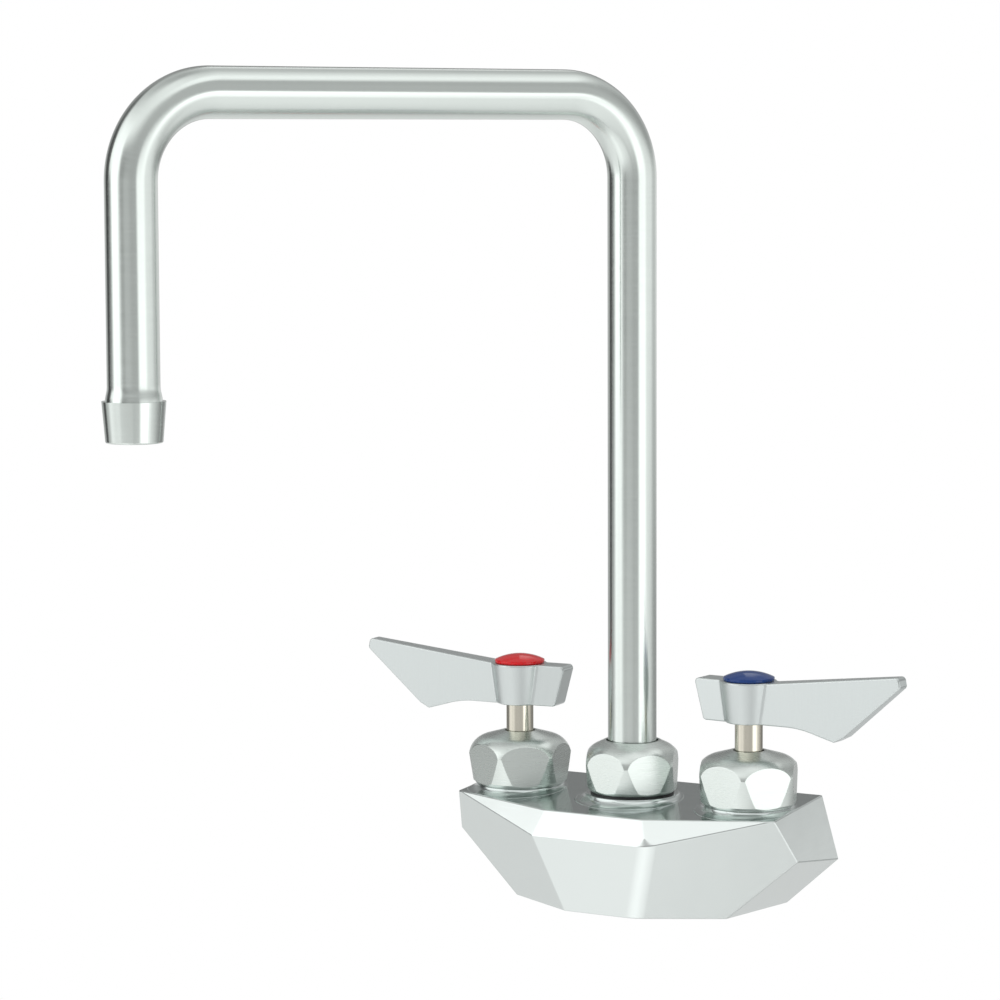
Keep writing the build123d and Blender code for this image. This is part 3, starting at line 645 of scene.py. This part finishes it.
def casting_bosses(sizes):
    """The spout's boss and the two valves' bosses."""
    blend_width = sizes.boss_blend / MM
    bosses = bmesh.new()
    add_boss(bosses, 0.0, SPOUT_BOSS_RADIUS, SPOUT_BOSS_TOP, blend_width)
    for x in VALVES.values():
        add_boss(bosses, x, VALVE_BOSS_RADIUS, VALVE_BOSS_TOP, blend_width)
    for point, normal in wall_facets():
        cut_off(bosses, point - normal * BOSS_INSET, normal)
    return bosses


def inlet_outline():
    """Depths and radii along a threaded inlet, from just outside its mouth to the end of its passage."""
    outline = [
        (-INLET_OVERLAP, INLET_MOUTH_RADIUS + INLET_OVERLAP),
        (INLET_MOUTH_DEPTH, INLET_BORE_RADIUS),
    ]
    turns = int((INLET_BORE_DEPTH - INLET_MOUTH_DEPTH) / THREAD_PITCH)
    for number in range(turns):
        crest = INLET_MOUTH_DEPTH + number * THREAD_PITCH
        outline.append((crest + THREAD_PITCH / 2, INLET_BORE_RADIUS + THREAD_DEPTH))
        outline.append((crest + THREAD_PITCH, INLET_BORE_RADIUS))
    outline.append((INLET_BORE_DEPTH, INLET_BORE_RADIUS))
    outline.append((INLET_BORE_DEPTH, INLET_PASSAGE_RADIUS))
    outline.append((STEM_OUT - CHAMBER_RADIUS, INLET_PASSAGE_RADIUS))
    return outline


def add_inlet(mesh, x):
    """The space that a threaded inlet takes from the casting."""
    rings = []
    for depth, radius in inlet_outline():
        ring = []
        for number in range(INLET_SEGMENTS):
            angle = 2 * math.pi * number / INLET_SEGMENTS
            across = x + radius * math.cos(angle)
            height = radius * math.sin(angle) - TOP_LEVEL
            ring.append(mesh.verts.new((across, STEM_OUT - depth, height)))
        rings.append(ring)
    join_rings(mesh, rings)


def drill_inlets(mesh):
    """The casting's block with both inlets cut into its wall face."""
    inlets = bmesh.new()
    for x in VALVES.values():
        add_inlet(inlets, x)
    bmesh.ops.recalc_face_normals(inlets, faces=inlets.faces)
    for face in inlets.faces:
        face.material_index = BORED
    drills = bpy.data.objects.new("inlet_drills", finished_mesh(inlets, "inlet_drills"))
    block = bpy.data.objects.new("casting_block", mesh)
    for item in (drills, block):
        bpy.context.scene.collection.objects.link(item)
    cut = block.modifiers.new("Inlets", "BOOLEAN")
    cut.operation = "DIFFERENCE"
    cut.solver = "EXACT"
    cut.object = drills
    drilled = plain_mesh(block, "drilled_block")
    bpy.data.objects.remove(drills)
    if len(drilled.polygons) < 4 * INLET_SEGMENTS:
        raise RuntimeError("The inlets were not cut into the casting")
    return drilled


def casting_mesh(sizes):
    """The drilled block with its bosses and a top with a buffing finish, whose darker colour is painted
    shade, in place on the faucet.
    """
    mesh = drill_inlets(finished_mesh(casting_block(sizes), "casting_block"))
    up = top_facet()[1]
    for face in mesh.polygons:
        if face.normal.angle(up) < TOP_FACET_ANGLE and face.material_index == SATIN:
            face.material_index = BUFFED_PAINTED_SHADE
    boss_mesh = finished_mesh(casting_bosses(sizes), "bosses")
    for face in boss_mesh.polygons:
        face.material_index = BUFFED_PAINTED_SHADE
    whole = bmesh.new()
    whole.from_mesh(mesh)
    whole.from_mesh(boss_mesh)
    whole.to_mesh(mesh)
    whole.free()
    bpy.data.meshes.remove(boss_mesh)
    mesh.transform(at_faucet())
    return mesh


class FAUCET_OT_casting(bpy.types.Operator):
    """Make the faceted casting with its soft edges, its three bosses and its two inlets"""

    bl_idname = "faucet.casting"
    bl_label = "Casting"

    def execute(self, context):
        colours = context.scene.faucet_colours
        # Satin chrome plate on a belt-ground brass casting: pale, with a soft sheen and long faint scratches
        satin = metal(
            "satin_chrome_casting", colours.casting, roughness=0.2,
            grain=straight_grain, lines_per_mm=(0.05, 0.05, 1.2),
            spread=0.04, tone=0.02, depth_mm=0.0005, ripple_mm=0.05,
        )
        # The top is smoothed by buffing round the bosses, so it shows what stands on it, a little wavy. Its
        # colour is darker than the same plate on the facets: painted shade for the dark room it reflects.
        buffed_painted_shade = metal(
            "buffed_chrome_top_painted_shade", colours.casting_top_painted_shade, roughness=0.15,
            grain=straight_grain, lines_per_mm=(0.06, 0.8, 0.06),
            spread=0.04, tone=0.02, depth_mm=0.0004, patch_mm=7.0, ripple_mm=0.06,
        )
        # Brass where the inlets are bored and threaded after plating: yellow, with tool marks
        bored = metal(
            "bored_brass", linear(BORED_BRASS), roughness=0.3,
            grain=straight_grain, lines_per_mm=(0.3, 2.0, 0.3),
        )
        mesh = casting_mesh(context.scene.faucet_sizes)
        piece = link_mesh("valve_body_casting", mesh, [satin, buffed_painted_shade, bored])
        piece = flat_faces_stay_flat(piece)
        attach(piece, "base")
        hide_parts("valve_body")
        return {"FINISHED"}


# Nuts, stems and buttons

class FAUCET_OT_nuts(bpy.types.Operator):
    """Give the three dome nuts their brushed chrome"""

    bl_idname = "faucet.nuts"
    bl_label = "Dome nuts"

    def execute(self, context):
        colour = context.scene.faucet_colours.nut
        # Chrome plate on turned brass: rings on the dome and level brush lines on the flats
        for name, x in (
            ("hot_bonnet_nut", VALVES["hot"]),
            ("spout_nut", 0.0),
            ("cold_bonnet_nut", VALVES["cold"]),
        ):
            finish = metal(
                "brushed_chrome_" + name, colour, roughness=0.28,
                grain=turned_grain, lines_per_mm=2.4, centre=centre_at(x),
                spread=0.05, tone=0.07, depth_mm=0.0015, edge_mm=0.35, brushed=0.4, smear=upright,
            )
            dress([name], finish)
        return {"FINISHED"}


class FAUCET_OT_stems(bpy.types.Operator):
    """Give the two stems their nickel"""

    bl_idname = "faucet.stems"
    bl_label = "Stems"

    def execute(self, context):
        colour = context.scene.faucet_colours.stem
        # Nickel plate on turned brass: warm and bright, with fine lathe rings
        for side, x in VALVES.items():
            name = side + "_stem"
            finish = metal(
                "nickel_plate_" + name, colour, roughness=0.15,
                grain=turned_grain, lines_per_mm=1.0, centre=centre_at(x),
                spread=0.02, tone=0.03, depth_mm=0.0003, brushed=0.5, smear=upright,
            )
            dress([name], finish)
        return {"FINISHED"}


class FAUCET_OT_buttons(bpy.types.Operator):
    """Give the two index buttons their gloss"""

    bl_idname = "faucet.buttons"
    bl_label = "Index buttons"

    def execute(self, context):
        colours = context.scene.faucet_colours
        # Moulded acrylic: deep even colour under a clear gloss
        for name, finish, colour in (
            ("hot_index_button", "red_acrylic", colours.hot),
            ("cold_index_button", "blue_acrylic", colours.cold),
        ):
            acrylic = moulded(
                finish, colour, roughness=0.07, ior=1.49, speck_mm=5.0, spread=0.02, edge_mm=0.8
            )
            dress([name], acrylic)
        return {"FINISHED"}


# Levers

class FAUCET_OT_levers(bpy.types.Operator):
    """Give the two levers their matte chrome"""

    bl_idname = "faucet.levers"
    bl_label = "Levers"

    def execute(self, context):
        colour = context.scene.faucet_colours.lever
        # Matte chrome plate on a die casting: pale, nearly dull, with fine upright grain
        for side, x in VALVES.items():
            name = side + "_handle"
            finish = metal(
                "matte_chrome_" + name, colour, roughness=0.36,
                grain=straight_grain, lines_per_mm=(1.6, 1.6, 0.12), centre=centre_at(x),
                spread=0.05, tone=0.05, depth_mm=0.003,
            )
            dress([name], finish)
        return {"FINISHED"}


# Spout

def tree_with_inputs(name, inputs):
    """A geometry tree with named inputs of these kinds and one geometry output."""
    tree = bpy.data.node_groups.new(name, "GeometryNodeTree")
    for label, kind in inputs.items():
        tree.interface.new_socket(name=label, in_out="INPUT", socket_type="NodeSocket" + kind)
    tree.interface.new_socket(name="Geometry", in_out="OUTPUT", socket_type="NodeSocketGeometry")
    return tree, tree.nodes.new("NodeGroupInput").outputs


def finish_tree(tree, geometry, material):
    """End a geometry tree with real geometry that has its material."""
    real = add_node(tree, "GeometryNodeRealizeInstances", inputs={0: geometry})
    painted = add_node(
        tree, "GeometryNodeSetMaterial", inputs={"Geometry": real.outputs[0], "Material": material}
    )
    add_node(tree, "NodeGroupOutput", inputs={0: painted.outputs[0]})


def run_tree(name, source, tree, values):
    """The plain mesh that a geometry tree makes from a source object with the given values."""
    modifier = source.modifiers.new(name, "NODES")
    modifier.node_group = tree
    for item in tree.interface.items_tree:
        if item.in_out == "INPUT" and item.name in values:
            modifier[item.identifier] = values[item.name]
    return plain_mesh(source, name)


def tube_tree():
    """A round tube along a path with rounded corners and a widened far end."""
    tree, given = tree_with_inputs("bent_tube", {
        "Path": "Geometry",
        "Tube radius": "Float",
        "Bend radius": "Float",
        "Flare radius": "Float",
        "Flare foot": "Float",
        "Flare top": "Float",
        "Ring spacing": "Float",
        "Finish": "Material",
    })
    bent = add_node(
        tree, "GeometryNodeFilletCurve", {"mode": "POLY"},
        {"Curve": given["Path"], "Count": BEND_STEPS, "Radius": given["Bend radius"]},
    )
    even = add_node(
        tree, "GeometryNodeResampleCurve", {"mode": "LENGTH"},
        {"Curve": bent.outputs[0], "Length": given["Ring spacing"]},
    )
    place = add_node(tree, "GeometryNodeInputPosition")
    axes = add_node(tree, "ShaderNodeSeparateXYZ", inputs={0: place.outputs[0]})
    along = add_node(tree, "GeometryNodeSplineParameter")
    last = add_node(
        tree, "ShaderNodeMath", {"operation": "GREATER_THAN"},
        {0: along.outputs["Factor"], 1: FLARE_SHARE},
    )
    widening = add_node(
        tree, "ShaderNodeMapRange", {"interpolation_type": "SMOOTHSTEP"},
        {"Value": axes.outputs["Z"], "From Min": given["Flare top"], "From Max": given["Flare foot"],
         "To Min": given["Tube radius"], "To Max": given["Flare radius"]},
    )
    radius = add_node(
        tree, "ShaderNodeMix",
        inputs={"Factor": last.outputs[0], 2: given["Tube radius"], 3: widening.outputs[0]},
    )
    direction = add_node(tree, "GeometryNodeInputTangent")
    marked = add_node(
        tree, "GeometryNodeStoreNamedAttribute", {"data_type": "FLOAT_VECTOR"},
        {"Geometry": even.outputs[0], "Name": "route", "Value": direction.outputs[0]},
    )
    measured = add_node(
        tree, "GeometryNodeStoreNamedAttribute", {"data_type": "FLOAT"},
        {"Geometry": marked.outputs[0], "Name": "run", "Value": along.outputs["Length"]},
    )
    section = add_node(
        tree, "GeometryNodeCurvePrimitiveCircle", inputs={"Resolution": TUBE_SIDES, "Radius": 1.0}
    )
    skin = add_node(
        tree, "GeometryNodeCurveToMesh",
        inputs={"Curve": measured.outputs[0], "Profile Curve": section.outputs[0],
                "Scale": radius.outputs[0], "Fill Caps": True},
    )
    finish_tree(tree, skin.outputs[0], given["Finish"])
    return tree


def spout_path():
    """The spout's route round the riser, swung to the left as it stands."""
    out = outlet_centre()
    points = [
        Vector((0.0, 0.0, TUBE_FOOT)),
        Vector((0.0, 0.0, SPOUT_RISE)),
        out + Vector((0.0, 0.0, SPOUT_RISE)),
        out + Vector((0.0, 0.0, HOUSING_TOP)),
    ]
    curve = bpy.data.curves.new("spout_path", "CURVE")
    curve.dimensions = "3D"
    spline = curve.splines.new("POLY")
    spline.points.add(len(points) - 1)
    for place, point in zip(points, spline.points):
        point.co = (*place, 1.0)
    path = bpy.data.objects.new("spout_path", curve)
    bpy.context.scene.collection.objects.link(path)
    return path


def outlet_centre():
    """The middle of the outlet, in millimetres round the riser."""
    return Vector((-SPOUT_REACH * math.sin(SPOUT_SWING), -SPOUT_REACH * math.cos(SPOUT_SWING), 0.0))


class FAUCET_OT_spout(bpy.types.Operator):
    """Bend the spout tube along its route"""

    bl_idname = "faucet.spout"
    bl_label = "Spout tube"

    def execute(self, context):
        # Satin chrome on drawn tube: brushed round the tube, so reflections run along it as streaks
        finish = metal(
            "brushed_chrome_tube", context.scene.faucet_colours.tube, roughness=0.21,
            grain=route_grain, lines_per_mm=1.1, centre=centre_at(0.0),
            spread=0.03, tone=0.04, depth_mm=0.0006, brushed=0.9, smear=along_route,
        )
        mesh = run_tree("spout_tube_bent", spout_path(), tube_tree(), {
            "Tube radius": TUBE_RADIUS,
            "Bend radius": BEND_RADIUS,
            "Flare radius": FLARE_RADIUS,
            "Flare foot": HOUSING_TOP,
            "Flare top": HOUSING_TOP + FLARE_LENGTH,
            "Ring spacing": RING_SPACING,
            "Finish": finish,
        })
        mesh.transform(at_faucet())
        for face in mesh.polygons:
            face.use_smooth = len(face.vertices) == 4
        piece = link_mesh("spout_tube_bent", mesh, [])
        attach(piece, "spout")
        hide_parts("spout_tube")
        return {"FINISHED"}


# Outlet

# How the plate's holes are counted and placed: each row names a value and gives its sum. Ring k has 6k
# holes and starts at hole 3k(k - 1) + 1, so hole n is in ring (3 + root of 12n - 3) / 6, rounded down.
# Hole 0 comes out in the middle, because the root of less than 0 and a share of 0 holes both count as 0.
PLATE_SUMS = (
    ("rings tripled", "MULTIPLY", "rings", 3.0),
    ("rings and one", "ADD", "rings", 1.0),
    ("holes round the middle", "MULTIPLY", "rings tripled", "rings and one"),
    ("count", "ADD", "holes round the middle", 1.0),
    ("twelvefold", "MULTIPLY", "hole", 12.0),
    ("under the root", "SUBTRACT", "twelvefold", 3.0),
    ("root", "SQRT", "under the root", 0.0),
    ("sixfold", "ADD", "root", 3.0 + ROUNDING_ROOM),
    ("unrounded", "DIVIDE", "sixfold", 6.0),
    ("ring", "FLOOR", "unrounded", 0.0),
    ("ring tripled", "MULTIPLY", "ring", 3.0),
    ("ring before", "SUBTRACT", "ring", 1.0),
    ("holes between", "MULTIPLY", "ring tripled", "ring before"),
    ("first of ring", "ADD", "holes between", 1.0),
    ("place in ring", "SUBTRACT", "hole", "first of ring"),
    ("holes in ring", "MULTIPLY", "ring", 6.0),
    ("share", "DIVIDE", "place in ring", "holes in ring"),
    ("angle", "MULTIPLY", "share", 2 * math.pi),
    ("reach", "MULTIPLY", "ring", "pitch"),
    ("cosine", "COSINE", "angle", 0.0),
    ("sine", "SINE", "angle", 0.0),
    ("x", "MULTIPLY", "reach", "cosine"),
    ("y", "MULTIPLY", "reach", "sine"),
    ("drill", "MULTIPLY", "thickness", DRILL_THICKNESSES),
)


def perforated_tree():
    """A round plate with one hole in the middle and rings of holes around it."""
    tree, given = tree_with_inputs("perforated_plate", {
        "Start": "Geometry",
        "Plate radius": "Float",
        "Plate thickness": "Float",
        "Hole radius": "Float",
        "Ring pitch": "Float",
        "Rings": "Int",
        "Finish": "Material",
    })
    found = {
        "rings": given["Rings"],
        "pitch": given["Ring pitch"],
        "thickness": given["Plate thickness"],
        "hole": add_node(tree, "GeometryNodeInputIndex").outputs[0],
    }
    for name, operation, first, second in PLATE_SUMS:
        found[name] = add_node(
            tree, "ShaderNodeMath", {"operation": operation},
            {0: found.get(first, first), 1: found.get(second, second)},
        ).outputs[0]
    place = add_node(tree, "ShaderNodeCombineXYZ", inputs={0: found["x"], 1: found["y"]})
    points = add_node(
        tree, "GeometryNodePoints", inputs={"Count": found["count"], "Position": place.outputs[0]}
    )
    drill = add_node(
        tree, "GeometryNodeMeshCylinder",
        inputs={"Vertices": HOLE_SIDES, "Radius": given["Hole radius"], "Depth": found["drill"]},
    )
    drills = add_node(
        tree, "GeometryNodeInstanceOnPoints",
        inputs={"Points": points.outputs[0], "Instance": drill.outputs[0]},
    )
    plate = add_node(
        tree, "GeometryNodeMeshCylinder",
        inputs={"Vertices": PLATE_SIDES, "Radius": given["Plate radius"],
                "Depth": given["Plate thickness"]},
    )
    drilled = add_node(
        tree, "GeometryNodeMeshBoolean", {"operation": "DIFFERENCE", "solver": "EXACT"},
        {0: plate.outputs[0], 1: drills.outputs[0]},
    )
    finish_tree(tree, drilled.outputs[0], given["Finish"])
    return tree


class FAUCET_OT_outlet(bpy.types.Operator):
    """Make the perforated outlet plate and dress its tapered shell"""

    bl_idname = "faucet.outlet"
    bl_label = "Outlet"

    def execute(self, context):
        sizes = context.scene.faucet_sizes
        colours = context.scene.faucet_colours
        middle = outlet_centre()
        # Chrome plate on turned brass: soft rings round the taper
        shell = metal(
            "turned_chrome_shell", colours.tube, roughness=0.18,
            grain=turned_grain, lines_per_mm=1.4, centre=centre_at(middle.x, middle.y),
            spread=0.04, tone=0.05, depth_mm=0.001, brushed=0.6, smear=upright,
        )
        dress(["aerator_housing"], shell)
        # Moulded acetal: milky white and slightly waxy
        acetal = moulded(
            "white_acetal_plate", linear(OUTLET_ACETAL), roughness=0.42, ior=1.48, speck_mm=1.5
        )
        start = bpy.data.objects.new("outlet_start", bpy.data.meshes.new("outlet_start"))
        context.scene.collection.objects.link(start)
        mesh = run_tree("aerator_plate", start, perforated_tree(), {
            "Plate radius": INSERT_RADIUS,
            "Plate thickness": INSERT_THICK,
            "Hole radius": sizes.hole_radius / MM,
            "Ring pitch": sizes.hole_pitch / MM,
            "Rings": sizes.hole_rings,
            "Finish": acetal,
        })
        lift = Matrix.Translation(middle + Vector((0.0, 0.0, INSERT_FOOT + INSERT_THICK / 2)))
        mesh.transform(at_faucet() @ lift)
        piece = link_mesh("aerator_plate", mesh, [])
        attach(piece, "spout")
        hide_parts("aerator_insert")
        return {"FINISHED"}


# Pieces inside

class FAUCET_OT_insides(bpy.types.Operator):
    """Give the seals, discs, screws and other inner pieces their materials"""

    bl_idname = "faucet.insides"
    bl_label = "Inner pieces"

    def execute(self, context):
        rubber_colour = context.scene.faucet_colours.rubber
        # Nitrile rubber: black with a soft sheen
        rubber = moulded("black_nitrile_rubber", rubber_colour, roughness=0.5, ior=1.52, speck_mm=0.8)
        # Turned brass, left bare: yellow with lathe rings
        brass = metal(
            "bare_turned_brass", linear(TURNED_BRASS), roughness=0.26,
            grain=straight_grain, lines_per_mm=(0.2, 0.2, 2.0),
        )
        # Alumina ceramic: off-white and lapped smooth
        ceramic = moulded("lapped_alumina", linear(ALUMINA), roughness=0.15, ior=1.76, speck_mm=0.6)
        # Stainless spring wire and mesh: grey and lightly drawn
        steel = metal(
            "stainless_steel", linear(STAINLESS), roughness=0.3,
            grain=straight_grain, lines_per_mm=(2.0, 2.0, 0.3),
        )
        # Acetal: waxy white
        acetal = moulded("white_acetal", linear(INNER_ACETAL), roughness=0.4, ior=1.48, speck_mm=1.5)
        valve_materials = {
            "cartridge_body": brass, "cartridge_o_ring": rubber, "seat_seal": rubber,
            "fixed_disc": ceramic, "moving_disc": ceramic, "stem_o_ring": rubber,
            "stem_clip": steel, "handle_screw": steel,
        }
        for side in VALVES:
            for name, material in valve_materials.items():
                dress([side + "_" + name], material)
        dress(["spout_gasket", "spout_o_rings", "aerator_washer"], rubber)
        dress(["spout_bearing_ring", "flow_restrictor"], acetal)
        dress(["spout_base_sleeve", "outlet_adapter"], brass)
        dress(["aerator_screens"], steel)
        return {"FINISHED"}


# Studio

def add_camera(scene):
    """The photographer's camera, placed by its turn, rise and roll."""
    back = Vector((
        math.sin(CAMERA_TURN) * math.cos(CAMERA_RISE),
        -math.cos(CAMERA_TURN) * math.cos(CAMERA_RISE),
        math.sin(CAMERA_RISE),
    ))
    level = Vector((math.cos(CAMERA_TURN), math.sin(CAMERA_TURN), 0.0))
    raised = back.cross(level)
    right = level * math.cos(CAMERA_ROLL) + raised * math.sin(CAMERA_ROLL)
    up = raised * math.cos(CAMERA_ROLL) - level * math.sin(CAMERA_ROLL)
    place = level * CAMERA_ACROSS + Vector((0.0, 0.0, CAMERA_UP)) + back * CAMERA_DISTANCE
    place += Vector((0.0, -STEM_OUT, TOP_LEVEL))
    data = bpy.data.cameras.new("photo_camera")
    data.lens = CAMERA_LENS
    data.sensor_width = SENSOR_WIDTH
    camera = bpy.data.objects.new("photo_camera", data)
    turned = Matrix((right, up, back)).transposed().to_4x4()
    camera.matrix_world = Matrix.Translation(place * MM) @ turned
    scene.collection.objects.link(camera)
    scene.camera = camera


def ramp(tree, factor, stops):
    """A brightness by degrees round the faucet."""
    node = add_node(tree, "ShaderNodeValToRGB", inputs={"Fac": factor})
    elements = node.color_ramp.elements
    while len(elements) > 1:
        elements.remove(elements[-1])
    for number, (degrees, level) in enumerate(stops):
        share = (degrees + 180) / 360
        stop = elements[0] if number == 0 else elements.new(share)
        stop.position = share
        stop.color = (level, level, level, 1.0)
    return node.outputs["Color"]


def studio_world(scene):
    """Soft lights round the faucet for what it reflects, and plain white for what is seen past it."""
    world = bpy.data.worlds.new("studio")
    world.use_nodes = True
    scene.world = world
    tree = world.node_tree
    tree.nodes.clear()
    direction = add_node(tree, "ShaderNodeTexCoord")
    from_camera = add_node(
        tree, "ShaderNodeMapping",
        inputs={"Vector": direction.outputs["Generated"],
                "Rotation": (0.0, 0.0, math.pi / 2 - CAMERA_TURN)},
    )
    axes = add_node(tree, "ShaderNodeSeparateXYZ", inputs={0: from_camera.outputs[0]})
    around = add_node(
        tree, "ShaderNodeMath", {"operation": "ARCTAN2"}, {0: axes.outputs["Y"], 1: axes.outputs["X"]}
    )
    share = add_node(
        tree, "ShaderNodeMapRange",
        inputs={"Value": around.outputs[0], "From Min": -math.pi, "From Max": math.pi},
    )
    layers = []
    for low, high, stops in STUDIO:
        rise = add_node(
            tree, "ShaderNodeMapRange", {"interpolation_type": "SMOOTHSTEP"},
            {"Value": axes.outputs["Z"], "From Min": low, "From Max": high},
        )
        layers.append((rise.outputs[0], ramp(tree, share.outputs[0], stops)))
    path = add_node(tree, "ShaderNodeLightPath")
    seen = add_node(
        tree, "ShaderNodeMath", {"operation": "MAXIMUM"},
        {0: path.outputs["Is Camera Ray"], 1: path.outputs["Is Transmission Ray"]},
    )
    layers.append((seen.outputs[0], PLAIN_WHITE))
    # The lowest layer lies under all the others
    colour = layers[0][1]
    for factor, layer in layers[1:]:
        colour = add_node(
            tree, "ShaderNodeMix", {"data_type": "RGBA"}, {"Factor": factor, 6: colour, 7: layer}
        ).outputs[2]
    background = add_node(tree, "ShaderNodeBackground", inputs={"Color": colour})
    add_node(tree, "ShaderNodeOutputWorld", inputs={"Surface": background.outputs[0]})


def floor_material():
    """Pale seamless paper that fades into the white round it."""
    material = new_material("pale_seamless_paper")
    tree = material.node_tree
    coordinates = add_node(tree, "ShaderNodeTexCoord")
    distance = add_node(
        tree, "ShaderNodeVectorMath", {"operation": "LENGTH"}, {0: coordinates.outputs["Object"]}
    )
    fade = add_node(
        tree, "ShaderNodeMapRange", {"interpolation_type": "SMOOTHSTEP"},
        {"Value": distance.outputs["Value"], "From Min": FLOOR_RADIUS * FADE_START,
         "From Max": FLOOR_RADIUS * FADE_END},
    )
    fibre = add_node(
        tree, "ShaderNodeTexNoise",
        inputs={"Vector": coordinates.outputs["Object"], "Scale": FIBRES_PER_METRE, "Detail": 2.0},
    )
    shade = add_node(
        tree, "ShaderNodeMix", {"data_type": "RGBA"},
        {"Factor": fibre.outputs[0], 6: linear(PAPER_DARK), 7: linear(PAPER_LIGHT)},
    )
    paper = add_node(
        tree, "ShaderNodeBsdfPrincipled", inputs={"Base Color": shade.outputs[2], "Roughness": 0.9}
    )
    clear = add_node(tree, "ShaderNodeBsdfTransparent")
    mixed = add_node(
        tree, "ShaderNodeMixShader",
        inputs={0: fade.outputs[0], 1: paper.outputs[0], 2: clear.outputs[0]},
    )
    add_node(tree, "ShaderNodeOutputMaterial", inputs={"Surface": mixed.outputs[0]})
    return material


def add_floor():
    disc = bmesh.new()
    bmesh.ops.create_circle(disc, cap_ends=True, segments=FLOOR_SIDES, radius=FLOOR_RADIUS)
    floor = link_mesh("studio_floor", finished_mesh(disc, "studio_floor"), [floor_material()])
    floor.location = (0.0, -FLOOR_FORWARD, FLOOR_LEVEL)


class FAUCET_OT_studio(bpy.types.Operator):
    """Set up the camera, the soft studio light and the pale floor"""

    bl_idname = "faucet.studio"
    bl_label = "Studio"

    def execute(self, context):
        scene = context.scene
        add_camera(scene)
        studio_world(scene)
        add_floor()
        scene.view_settings.view_transform = "Standard"
        return {"FINISHED"}


# Add-on

STEPS = (
    FAUCET_OT_studio,
    FAUCET_OT_casting,
    FAUCET_OT_nuts,
    FAUCET_OT_stems,
    FAUCET_OT_levers,
    FAUCET_OT_buttons,
    FAUCET_OT_spout,
    FAUCET_OT_outlet,
    FAUCET_OT_insides,
)


class FAUCET_PT_finishes(bpy.types.Panel):
    """Lists the faucet's pieces with their sizes and colours"""

    bl_idname = "FAUCET_PT_finishes"
    bl_label = "Faucet Finishes"
    bl_space_type = "VIEW_3D"
    bl_region_type = "UI"
    bl_category = "Faucet"

    def draw(self, context):
        for group in (context.scene.faucet_sizes, context.scene.faucet_colours):
            column = self.layout.column()
            for name in group.__annotations__:
                column.prop(group, name)
        for step in STEPS:
            self.layout.operator(step.bl_idname)


CLASSES = (FaucetSizes, FaucetColours) + STEPS + (FAUCET_PT_finishes,)


def register():
    for item in CLASSES:
        bpy.utils.register_class(item)
    bpy.types.Scene.faucet_sizes = bpy.props.PointerProperty(type=FaucetSizes)
    bpy.types.Scene.faucet_colours = bpy.props.PointerProperty(type=FaucetColours)


def unregister():
    del bpy.types.Scene.faucet_colours
    del bpy.types.Scene.faucet_sizes
    for item in reversed(CLASSES):
        bpy.utils.unregister_class(item)


def main():
    register()
    for step in STEPS:
        name = step.bl_idname.split(".")[1]
        getattr(bpy.ops.faucet, name)()


if __name__ == "__main__":
    main()
